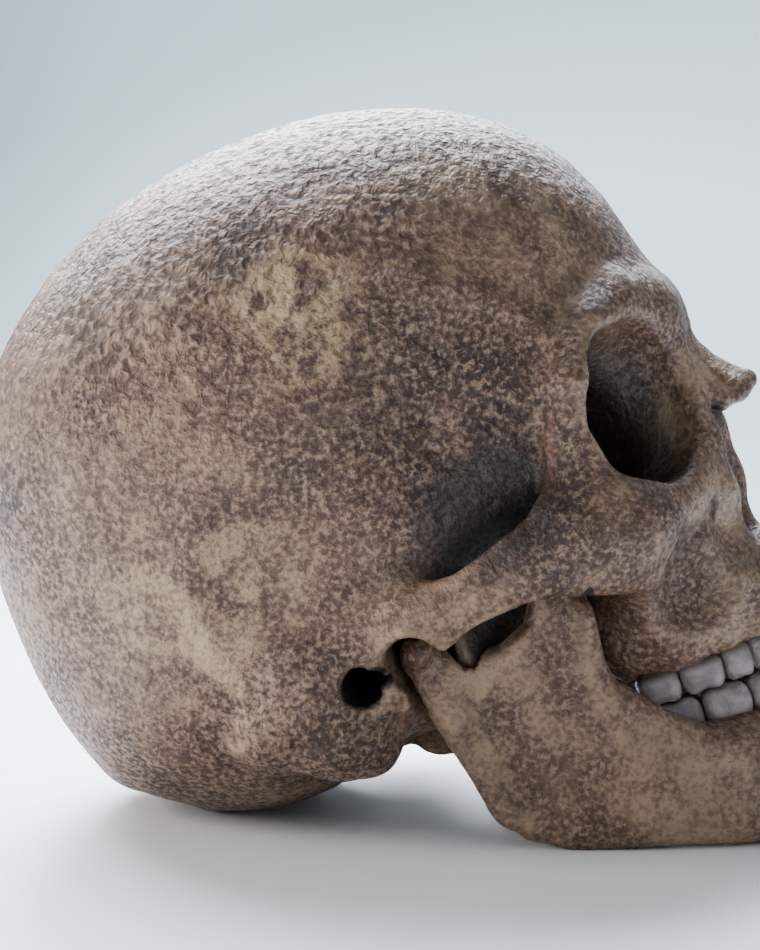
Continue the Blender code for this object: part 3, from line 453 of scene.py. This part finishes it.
craniumLayers = [
    ([braincaseShape()], temples),
    (brow + cheek + noseBridge + upperJaw + cheekArch + skullBase, hollows),
    (fineSkull, fineSkullHoles),
]
jawLayers = [(lowerJaw, jawHollows), (fineJaw, fineJawHoles)]


def craniumDistance(points):
    return melted(craniumLayers, skullStrokes + fineSkullStrokes, points)


def jawDistance(points):
    own = melted(jawLayers, jawStrokes + fineJawStrokes, points)
    return np.maximum(own, jawClearance - melted(craniumLayers[:2], skullStrokes, points))


def meshObject(name, mesh):
    data = bpy.data.meshes.new(name)
    mesh.to_mesh(data)
    mesh.free()
    return dataObject(name, data)


def dataObject(name, data):
    made = bpy.data.objects.new(name, data)
    bpy.context.scene.collection.objects.link(made)
    return made


def applied(made):
    graph = bpy.context.evaluated_depsgraph_get()
    data = bpy.data.meshes.new_from_object(made.evaluated_get(graph))
    made.modifiers.clear()
    made.data = data
    return made


def remeshed(made, voxel):
    modifier = made.modifiers.new("voxels", "REMESH")
    modifier.mode = "VOXEL"
    modifier.voxel_size = voxel
    return applied(made)


def vertexPlaces(made):
    places = np.empty(len(made.data.vertices) * 3, np.float32)
    made.data.vertices.foreach_get("co", places)
    return places.reshape(-1, 3).astype(float)


def vertexNormals(made):
    normals = np.empty(len(made.data.vertices) * 3, np.float32)
    made.data.vertex_normals.foreach_get("vector", normals)
    return normals.reshape(-1, 3).astype(float)


def putPlaces(made, places):
    made.data.vertices.foreach_set("co", places.astype(np.float32).ravel())
    made.data.update()


# Points move onto the shape along its slope, which is measured over a short way in mm
slopeReach, leastSlope = 0.3, 0.25


def settle(made, distance, longest, steps):
    places = vertexPlaces(made)
    for _ in range(steps):
        near = distance(places)
        slope = np.empty_like(places)
        for axis in range(3):
            aside = np.zeros(3)
            aside[axis] = slopeReach
            slope[:, axis] = (distance(places + aside) - near) / slopeReach
        move = slope * (near / np.maximum((slope**2).sum(axis=1), leastSlope))[:, None]
        length = np.maximum(np.linalg.norm(move, axis=1), 1e-9)
        places -= move * np.minimum(1, longest / length)[:, None]
    putPlaces(made, places)


# The skin of a bone: mesh sizes, how far the CAD bones are fattened first so that the seams close,
# and the longest step of a point in the first and the later rounds of settling, in mm
skin = {"voxel": 0.9, "coarse": 1.5, "cranium": 0.4, "lowerJaw": 1.6, "firstStep": 2, "lateStep": 1.5}


def boneSkin(name, nodes, distance):
    mesh = bmesh.new()
    for node in nodes:
        mesh.from_mesh(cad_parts[node].data)
    bmesh.ops.remove_doubles(mesh, verts=mesh.verts, dist=1e-6)
    bmesh.ops.transform(mesh, matrix=fromTable, verts=mesh.verts)
    mesh.normal_update()
    for vertex in mesh.verts:
        vertex.co += vertex.normal * skin[name]
    made = meshObject(name, mesh)
    remeshed(made, skin["coarse"])
    settle(made, distance, skin["firstStep"], 7)
    remeshed(made, skin["voxel"])
    settle(made, distance, skin["lateStep"], 2)
    modifier = made.modifiers.new("even", "SMOOTH")
    modifier.factor = 0.5
    modifier.iterations = 1
    applied(made)
    settle(made, distance, skin["lateStep"], 1)
    print(name, "skin of", len(made.data.vertices), "points")
    return made


# Where the surface is coarse, wrinkled, spongy or pale, and where shade is painted into the orbit, nose, ear
# hole, fossa and temple pit: centre and half sizes of soft patches, in mm
patches = {
    "temple": ((42, 56, 28), (30, 22, 34)),
    "mastoid": ((-24, 60, -4), (30, 26, 22)),
    "vault": ((20, 30, 110), (120, 90, 75)),
    "orbit": ((60, 31, 16), (33, 31, 29)),
    "pit": ((40, 56, 14), (20, 20, 17)),
    "nose": ((74, 0, -6), (24, 15, 20)),
    "ear": ((-3, 54, -3), (8, 14, 8)),
    "fossa": ((34, 46, -12), (22, 14, 18)),
    "pale": ((26, 58, 74), (16, 24, 18)),
    "rear": ((-20, 60, 34), (30, 30, 26)),
}
# Height of each kind of relief, and the size of its noise, in mm
relief = {"swell": 0.3, "wrinkle": 0.54, "sponge": 0.7, "grain": 0.14, "seam": 0.2}
reliefSize = {"swell": 14, "wrinkle": 5.5, "sponge": 3.6, "grain": 2.4}
# How far off the surface is felt for dips and for the most sunken places, whose marks paint shade into the
# colour, and, inwards, for ridges, in mm
feel = {"dip": 3.5, "deepShade": 11, "ridge": 2.2}
redWidth = 1.5


def patch(places, name):
    centre, sizes = patches[name]
    away = (leftSide(places) - centre) / np.array(sizes, float)
    return 1 - ease(np.linalg.norm(away, axis=1), 0.55, 1.15)


def noiseAt(places, size, octaves=3):
    return np.array([noise.fractal(Vector(place) / size, 0.8, 2.1, octaves) for place in places])


# Marks for the material, each scaled to run from 0 to 1. Two of them are painted shade: they darken the
# colour where the surface is sunk, down to a near-black painted shadow inside the orbits, nose, ear holes and
# fossae.
def marked(made, distance, redLines):
    places, normals = vertexPlaces(made), vertexNormals(made)
    dip = 1 - distance(places + normals * feel["dip"]) / feel["dip"]
    deepShade = 1 - distance(places + normals * feel["deepShade"]) / feel["deepShade"]
    ridge = 1 + distance(places - normals * feel["ridge"]) / feel["ridge"]
    ridge *= 1 - np.clip(dip * 2, 0, 1)
    mirrored = leftSide(places)
    red = np.zeros(len(places))
    for path in redLines:
        red = np.maximum(red, strokeRise(mirrored, np.array(path, float), 1, redWidth))
    # Painted black shadow: the inner walls of the orbit, nose, ear hole and fossa where they face inwards,
    # and partly the temple pit
    inside = np.zeros(len(places))
    for name in ("orbit", "nose", "ear", "fossa"):
        towards = np.array(patches[name][0], float) - mirrored
        towards /= np.maximum(np.linalg.norm(towards, axis=1), 1e-6)[:, None]
        upright = normals.copy()
        upright[:, 1] *= np.sign(places[:, 1])
        facing = ease((towards * upright).sum(axis=1), -0.15, 0.45)
        inside = np.maximum(inside, patch(places, name) * facing)
    inside = np.maximum(inside, patch(places, "pit") * 0.6)
    return {
        # Painted shade: the colour darkens where the surface dips and over the temple pit, and goes near
        # black inside the orbit, nose, ear hole and fossa
        "hollowShade": np.clip(np.maximum(dip * 1.5, patch(places, "pit") * 0.9), 0, 1),
        "deepShade": np.clip(np.maximum(deepShade * 1.3 - 0.35, inside), 0, 1),
        "worn": np.clip(ridge * 1.7, 0, 1),
        "red": red,
        "coarse": patch(places, "vault"),
        "wrinkled": patch(places, "temple"),
        "spongy": patch(places, "mastoid"),
        "pale": np.maximum(patch(places, "pale"), patch(places, "rear") * 0.5),
        "seam": np.zeros(len(places)),
    }


def roughened(made, marks):
    places, normals = vertexPlaces(made), vertexNormals(made)
    swell = noiseAt(places, reliefSize["swell"])
    fine = noiseAt(places, reliefSize["grain"], 2)
    folds = 1 - np.abs(noiseAt(places * (1, 1, 0.6), reliefSize["wrinkle"])) * 2
    sponge = np.minimum(noiseAt(places, reliefSize["sponge"], 4), 0.15)
    move = (
        relief["swell"] * swell
        + relief["grain"] * fine * (0.5 + marks["coarse"])
        + relief["wrinkle"] * marks["wrinkled"] * (folds - 0.6)
        + relief["sponge"] * marks["spongy"] * sponge
    )
    move *= 1 - marks["deepShade"] * 0.7
    move -= relief["seam"] * marks["seam"]
    putPlaces(made, places + normals * move[:, None])


def faceCorners(made):
    corners = np.empty(len(made.data.loops), np.int32)
    made.data.loops.foreach_get("vertex_index", corners)
    return corners.reshape(-1, 4)


# Between two bones the seam wanders: how far bones are sought, its width and how far it strays, in mm
seamLook = {"reach": 2.5, "width": 0.9, "stray": 0.55, "waves": 0.5}


def boneOwners(made, nodes):
    corners, faces, owners = [], [], []
    for number, node in enumerate(nodes):
        data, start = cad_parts[node].data, len(corners)
        corners += [fromTable @ vertex.co for vertex in data.vertices]
        faces += [[start + k for k in face.vertices] for face in data.polygons]
        owners += [number] * len(data.polygons)
    tree = BVHTree.FromPolygons(corners, faces)
    found, seam = [], []
    for place in vertexPlaces(made):
        spot, away = Vector(place), {}
        for _, _, face, length in tree.find_nearest_range(spot, seamLook["reach"]):
            owner = owners[face]
            away[owner] = min(away.get(owner, length), length)
        if not away:
            away[owners[tree.find_nearest(spot)[2]]] = 0
        if len(away) > 1:
            for owner in away:
                shifted = spot * seamLook["waves"] + Vector((owner * 7.3, 0, 0))
                away[owner] += seamLook["stray"] * noise.noise(shifted)
        ranked = sorted(away.items(), key=lambda pair: pair[1])
        found.append(ranked[0][0])
        lead = ranked[1][1] - ranked[0][1] if len(ranked) > 1 else seamLook["width"]
        seam.append(max(0, 1 - lead / seamLook["width"]))
    return np.array(found), np.array(seam)


def pieceOf(made, name, wanted, marks):
    used, faces = np.unique(faceCorners(made)[wanted], return_inverse=True)
    data = bpy.data.meshes.new(name)
    data.from_pydata(vertexPlaces(made)[used], [], faces.reshape(-1, 4).tolist())
    for mark, values in marks.items():
        layer = data.attributes.new(mark, "FLOAT", "POINT")
        layer.data.foreach_set("value", values[used].astype(np.float32))
    data.polygons.foreach_set("use_smooth", np.ones(len(data.polygons), bool))
    data.transform(toTable)
    piece = dataObject(name, data)
    putPlaces(piece, np.clip(vertexPlaces(piece), cadBox[0], cadBox[1]))
    return piece


# Faint red lines along the rim of the cheek and the arch
redLines = [
    [
        (66, 52.5, 27), (59.6, 54.5, 22.5), (56.4, 56.5, 14.9), (50, 61, 10), (45.1, 63, 9.4),
        (33.9, 65.5, 7.6),
    ],
    [(33.9, 65.5, 7.6), (20.4, 66, 6.8), (6.2, 66, 9)],
]
craniumNodes = [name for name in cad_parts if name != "mandible"]
cranium = boneSkin("cranium", craniumNodes, craniumDistance)
marks = marked(cranium, craniumDistance, redLines)
owners, marks["seam"] = boneOwners(cranium, craniumNodes)
roughened(cranium, marks)
faceOwners = np.sort(owners[faceCorners(cranium)], axis=1)[:, 1]
pieces = []
for number, node in enumerate(craniumNodes):
    piece = pieceOf(cranium, node + "Skin", faceOwners == number, marks)
    pieces.append((piece, node))
bpy.data.objects.remove(cranium)
print("bones of the cranium", len(pieces))

jaw = boneSkin("lowerJaw", ["mandible"], jawDistance)
marks = marked(jaw, jawDistance, [])
roughened(jaw, marks)
pieces.append((pieceOf(jaw, "mandibleSkin", np.ones(len(jaw.data.polygons), bool), marks), "mandible"))
bpy.data.objects.remove(jaw)


# A crown: how it narrows and leans back towards the root, its cusps and its uneven surface in mm,
# and how far chance lifts it in mm and tips and twists it in radians
crown = {
    "taper": 0.34, "lean": 2, "cusp": 0.35, "cuspWaves": 5, "uneven": 0.16, "unevenSize": 2.6,
    "lift": 0.15, "tip": 0.03, "twist": 0.05,
}


def toothRow(name, teeth, row, up):
    mesh = bmesh.new()
    gum = mesh.verts.layers.float.new("gum")
    for side in (1, -1):
        along = 0.0
        for number, (width, depth, height) in enumerate(teeth):
            x, y, heading = rowSpot(row, along + width / 2)
            along += width - bite["overlap"]
            tall = height + bite["rootDepth"]
            chance = noise.cell_vector(Vector((number * 3.1, side * 2.7, up * 5.3)))
            made = bmesh.ops.create_uvsphere(mesh, u_segments=36, v_segments=24, radius=1)["verts"]
            for vertex in made:
                way = np.array(vertex.co)
                block = way / (np.abs(way) ** bite["squareness"]).sum() ** (1 / bite["squareness"])
                rootward = up * block[2]
                taper = 1.02 - crown["taper"] * ease(rootward, -0.3, 1.0)
                lean = -crown["lean"] * ease(rootward, -0.2, 1.0)
                waves = math.cos(block[0] * crown["cuspWaves"]) * math.cos(block[1] * crown["cuspWaves"])
                cusp = crown["cusp"] * waves * ease(-rootward, 0.75, 1.0)
                vertex[gum] = (rootward * tall / 2 + tall / 2) / height
                vertex.co = (
                    block[0] * depth / 2 * taper + lean,
                    block[1] * width / 2 * taper,
                    block[2] * tall / 2 - up * cusp,
                )
            lift = bite["gap"] / 2 + tall / 2 + crown["lift"] * chance.x
            place = (
                Matrix.Translation((x, side * y, biteLevel(x) + up * lift))
                @ Matrix.Rotation(math.atan(bite["drop"]) + crown["tip"] * chance.y, 4, "Y")
                @ Matrix.Rotation(side * heading + crown["twist"] * chance.z, 4, "Z")
            )
            bmesh.ops.transform(mesh, matrix=place, verts=made)
    for face in mesh.faces:
        face.smooth = True
    made = meshObject(name, mesh)
    places, normals = vertexPlaces(made), vertexNormals(made)
    uneven = crown["uneven"] * noiseAt(places, crown["unevenSize"])
    putPlaces(made, places + normals * uneven[:, None])
    made.data.transform(toTable)
    return made


teeth = [
    (toothRow("upperTeeth", upperTeeth, upperRow, 1), "maxilla"),
    (toothRow("lowerTeeth", lowerTeeth, lowerRow, -1), "mandible"),
]
print("teeth", 2 * (len(upperTeeth) + len(lowerTeeth)))


def hexColour(text):
    parts = [int(text[k : k + 2], 16) / 255 for k in (1, 3, 5)]
    return tuple(p / 12.92 if p <= 0.04045 else ((p + 0.055) / 1.055) ** 2.4 for p in parts) + (1,)


def perMm(size):
    return 1 / (mmToMetres * size)


def addNode(tree, kind, inputs, **settings):
    node = tree.nodes.new(kind)
    for name, value in settings.items():
        setattr(node, name, value)
    for name, value in inputs.items():
        if isinstance(value, bpy.types.NodeSocket):
            tree.links.new(value, node.inputs[name])
        else:
            node.inputs[name].default_value = value
    return node


def newMaterial(name):
    material = bpy.data.materials.new(name)
    material.use_nodes = True
    tree = material.node_tree
    return material, tree, tree.nodes["Principled BSDF"]


def noiseOn(tree, where, size, detail=4, rough=0.55, twist=0):
    inputs = {
        "Vector": where, "Scale": perMm(size), "Detail": detail, "Roughness": rough, "Distortion": twist,
    }
    return addNode(tree, "ShaderNodeTexNoise", inputs).outputs[0]


def graded(tree, value, low, high, start=0, end=1):
    inputs = {0: value, 1: low, 2: high, 3: start, 4: end}
    return addNode(tree, "ShaderNodeMapRange", inputs, interpolation_type="SMOOTHSTEP").outputs[0]


def worked(tree, operation, first, second):
    return addNode(tree, "ShaderNodeMath", {0: first, 1: second}, operation=operation).outputs[0]


def times(tree, first, second):
    return worked(tree, "MULTIPLY", first, second)


def plus(tree, first, second):
    return worked(tree, "ADD", first, second)


def mixed(tree, share, first, second):
    first, second = (hexColour(c) if isinstance(c, str) else c for c in (first, second))
    return addNode(tree, "ShaderNodeMix", {0: share, 6: first, 7: second}, data_type="RGBA").outputs[2]


def markOn(tree, name):
    return addNode(tree, "ShaderNodeAttribute", {}, attribute_name=name).outputs["Fac"]


def raised(tree, height, depth, strength, below=None):
    inputs = {"Height": height, "Distance": depth * mmToMetres, "Strength": strength}
    if below:
        inputs["Normal"] = below
    return addNode(tree, "ShaderNodeBump", inputs).outputs[0]


# Brown resin cast: pebbled like leather, rubbed to tan on the tops, dark brown left in the creases of the
# grain and the seams, with painted shade over the hollows and a near-black painted shadow in the most sunken
# places
# Sizes and depths are in mm, and each share is how much of its colour shows where its mark is full
cast = {
    "dark": "#38261e", "middle": "#5c4235", "light": "#a2866b", "pale": "#b39a72", "recess": "#1d110c",
    # 070504 is a near-black painted shadow for the most sunken places; the recess colour also serves as
    # painted shade over the hollows
    "darkest": "#070504", "red": "#7a3a2e",
    "broadSize": 42, "patchSize": 24, "blotchSize": 11, "coarseGrain": 2.3, "fineGrain": 1.3, "pore": 0.5,
    "coarseDepth": 1.3, "fineDepth": 0.5, "poreDepth": 0.08,
    "paleShare": 0.7, "topShare": 0.55, "recessShare": 0.8, "redShare": 0.35, "seamShare": 0.3,
    "hollowShadeShare": 0.65, "deepShadeShare": 0.93,
}


def castMaterial():
    material, tree, surface = newMaterial("brownResinCast")
    where = addNode(tree, "ShaderNodeTexCoord", {}).outputs["Object"]
    broad = noiseOn(tree, where, cast["broadSize"], 4)
    blotch = noiseOn(tree, where, cast["blotchSize"], 5, 0.6)
    big = noiseOn(tree, where, cast["coarseGrain"], 3, 0.5, 0.5)
    small = noiseOn(tree, where, cast["fineGrain"], 3, 0.6, 0.3)
    pore = noiseOn(tree, where, cast["pore"], 3)
    coarse, spongy, wrinkled = (markOn(tree, name) for name in ("coarse", "spongy", "wrinkled"))
    patchy = graded(tree, noiseOn(tree, where, cast["patchSize"], 3), 0.4, 0.6, 0.35, 1)
    bigShare = times(tree, worked(tree, "MAXIMUM", coarse, 0.3), patchy)
    height = addNode(tree, "ShaderNodeMix", {0: bigShare, 2: small, 3: big}).outputs[0]

    tone = plus(tree, times(tree, broad, 0.8), times(tree, blotch, 0.6))
    tone = plus(tree, tone, times(tree, markOn(tree, "worn"), 0.4))
    tone = worked(tree, "SUBTRACT", tone, times(tree, wrinkled, 0.16))
    density = plus(tree, times(tree, spongy, 0.35), times(tree, wrinkled, 0.25))
    density = plus(tree, density, graded(tree, tone, 1.1, 0.5, 0.35, 0.85))
    recess = times(tree, graded(tree, height, 0.53, 0.4), worked(tree, "MINIMUM", density, 1))
    pale = times(tree, markOn(tree, "pale"), graded(tree, blotch, 0.46, 0.6))
    colour = mixed(tree, graded(tree, tone, 0.45, 0.72), cast["dark"], cast["middle"])
    colour = mixed(tree, graded(tree, tone, 0.68, 1.1), colour, cast["light"])
    for mark, share, over in (
        (pale, "paleShare", "pale"),
        (graded(tree, height, 0.5, 0.64), "topShare", "light"),
        (recess, "recessShare", "recess"),
        (markOn(tree, "red"), "redShare", "red"),
        (markOn(tree, "seam"), "seamShare", "recess"),
        # Painted shade: the recess colour over the dipped places and a near-black painted shadow in the most
        # sunken ones
        (markOn(tree, "hollowShade"), "hollowShadeShare", "recess"),
        (markOn(tree, "deepShade"), "deepShadeShare", "darkest"),
    ):
        colour = mixed(tree, times(tree, mark, cast[share]), colour, cast[over])
    tree.links.new(colour, surface.inputs["Base Color"])
    roughness = graded(tree, plus(tree, height, recess), 0.4, 1.2, 0.4, 0.7)
    tree.links.new(roughness, surface.inputs["Roughness"])

    first = raised(tree, big, cast["coarseDepth"], worked(tree, "MAXIMUM", coarse, 0.35))
    second = raised(tree, small, cast["fineDepth"], 1, first)
    tree.links.new(raised(tree, pore, cast["poreDepth"], 1, second), surface.inputs["Normal"])
    return material


# Cast teeth: greyish lilac, smoother than the bone, darker brown towards the gums
toothLook = {
    "light": "#8f8383", "middle": "#6e6162", "darkest": "#33251f", "roughness": 0.42, "blotchSize": 3.5,
    "speckSize": 0.8, "depth": 0.3,
}


def toothMaterial():
    material, tree, surface = newMaterial("castTeeth")
    where = addNode(tree, "ShaderNodeTexCoord", {}).outputs["Object"]
    blotch = noiseOn(tree, where, toothLook["blotchSize"], 5)
    speck = noiseOn(tree, where, toothLook["speckSize"], 4)
    gum = plus(tree, markOn(tree, "gum"), times(tree, blotch, 0.5))
    colour = mixed(tree, graded(tree, blotch, 0.35, 0.65), toothLook["middle"], toothLook["light"])
    colour = mixed(tree, graded(tree, gum, 0.95, 1.3), colour, toothLook["darkest"])
    tree.links.new(colour, surface.inputs["Base Color"])
    surface.inputs["Roughness"].default_value = toothLook["roughness"]
    uneven = raised(tree, plus(tree, blotch, speck), toothLook["depth"], 1)
    tree.links.new(uneven, surface.inputs["Normal"])
    return material


# Painted board: bluish white under the skull, shading to blue grey behind it and on its upright part.
# It shades from start to end behind the skull, and from low to tall above the table, in m. Grain is in mm.
boardLook = {
    "near": "#f7fafd", "far": "#86959b", "high": "#8f9ea5", "start": 0.15, "end": 0.6, "low": 0.02,
    "tall": 0.3, "roughness": 0.45, "grain": 1.2, "depth": 0.03,
}


def boardMaterial():
    material, tree, surface = newMaterial("paintedBoard")
    where = addNode(tree, "ShaderNodeTexCoord", {}).outputs["Object"]
    place = addNode(tree, "ShaderNodeSeparateXYZ", {0: where}).outputs
    share = graded(tree, place[1], boardLook["start"], boardLook["end"])
    colour = mixed(tree, share, boardLook["near"], boardLook["far"])
    rise = graded(tree, place[2], boardLook["low"], boardLook["tall"])
    colour = mixed(tree, rise, colour, boardLook["high"])
    tree.links.new(colour, surface.inputs["Base Color"])
    surface.inputs["Roughness"].default_value = boardLook["roughness"]
    grain = raised(tree, noiseOn(tree, where, boardLook["grain"], 5), boardLook["depth"], 0.4)
    tree.links.new(grain, surface.inputs["Normal"])
    return material


resin, enamel = castMaterial(), toothMaterial()
for piece, node in pieces:
    piece.data.materials.append(resin)
    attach(piece, "root")
    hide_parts(node)
for piece, slot in teeth:
    piece.data.materials.append(enamel)
    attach(piece, "root")
print("materials on", len(pieces) + len(teeth), "pieces")

# Camera, set to the photo's view
view = {
    "aim": (-0.01672, 0, 0.08018), "azimuth": 9, "elevation": 6, "distance": 0.72, "lens": 112.4,
    "sensor": 36,
}
azimuth, elevation = math.radians(view["azimuth"]), math.radians(view["elevation"])
back = Vector(
    (math.sin(azimuth) * math.cos(elevation), -math.cos(azimuth) * math.cos(elevation), math.sin(elevation))
)
camera = bpy.data.objects.new("camera", bpy.data.cameras.new("camera"))
camera.data.sensor_fit = "VERTICAL"
camera.data.sensor_height = view["sensor"]
camera.data.lens = view["lens"]
camera.data.clip_start = 0.01
camera.location = Vector(view["aim"]) + back * view["distance"]
camera.rotation_mode = "QUATERNION"
camera.rotation_quaternion = back.to_track_quat("Z", "Y")
bpy.context.scene.collection.objects.link(camera)
bpy.context.scene.camera = camera

# A sweep, in m: a flat board that bends up behind the skull
sweep = {"front": -1.5, "bend": 1.0, "radius": 0.5, "top": 2.2, "halfWidth": 2.5}


def sweepBoard():
    mesh = bmesh.new()
    profile = [(sweep["front"], 0), (sweep["bend"], 0)]
    radius, half = sweep["radius"], sweep["halfWidth"]
    for turn in np.linspace(0, math.pi / 2, 17)[1:]:
        profile.append((sweep["bend"] + radius * math.sin(turn), radius * (1 - math.cos(turn))))
    profile.append((sweep["bend"] + radius, sweep["top"]))
    rows = [[mesh.verts.new((x, y, z)) for y, z in profile] for x in (-half, half)]
    for k in range(len(profile) - 1):
        mesh.faces.new((rows[0][k], rows[1][k], rows[1][k + 1], rows[0][k + 1])).smooth = True
    return meshObject("board", mesh)


board = sweepBoard()
board.data.materials.append(boardMaterial())


def softbox(name, place, aim, size, power, colour):
    light = bpy.data.objects.new(name, bpy.data.lights.new(name, "AREA"))
    light.data.size = size
    light.data.energy = power
    light.data.color = hexColour(colour)[:3]
    light.location = place
    light.visible_camera = False
    light.rotation_mode = "QUATERNION"
    light.rotation_quaternion = (Vector(place) - Vector(aim)).to_track_quat("Z", "Y")
    bpy.context.scene.collection.objects.link(light)


# Soft lights: place, aim and size in m, power in W and colour
lights = {
    "topLight": ((-0.4, 0.62, 0.85), (-0.02, 0, 0.1), 0.8, 62, "#f4f8ff"),
    "rearLight": ((-0.1, 1.3, 0.8), (0, 0, 0.02), 0.9, 46, "#eef5ff"),
    "leftLight": ((-1.05, -0.3, 0.4), (-0.05, 0, 0.08), 0.6, 15, "#fff8f0"),
    "frontLight": ((0.3, -1.2, 0.6), (0, 0, 0.08), 0.9, 1.5, "#fff4ea"),
}
for name, values in lights.items():
    softbox(name, *values)
surroundings = {"colour": "#b9c6cc", "strength": 0.8}
world = bpy.data.worlds.new("studio")
bpy.context.scene.world = world
world.use_nodes = True
world.node_tree.nodes["Background"].inputs[0].default_value = hexColour(surroundings["colour"])
world.node_tree.nodes["Background"].inputs[1].default_value = surroundings["strength"]

bpy.context.view_layer.update()
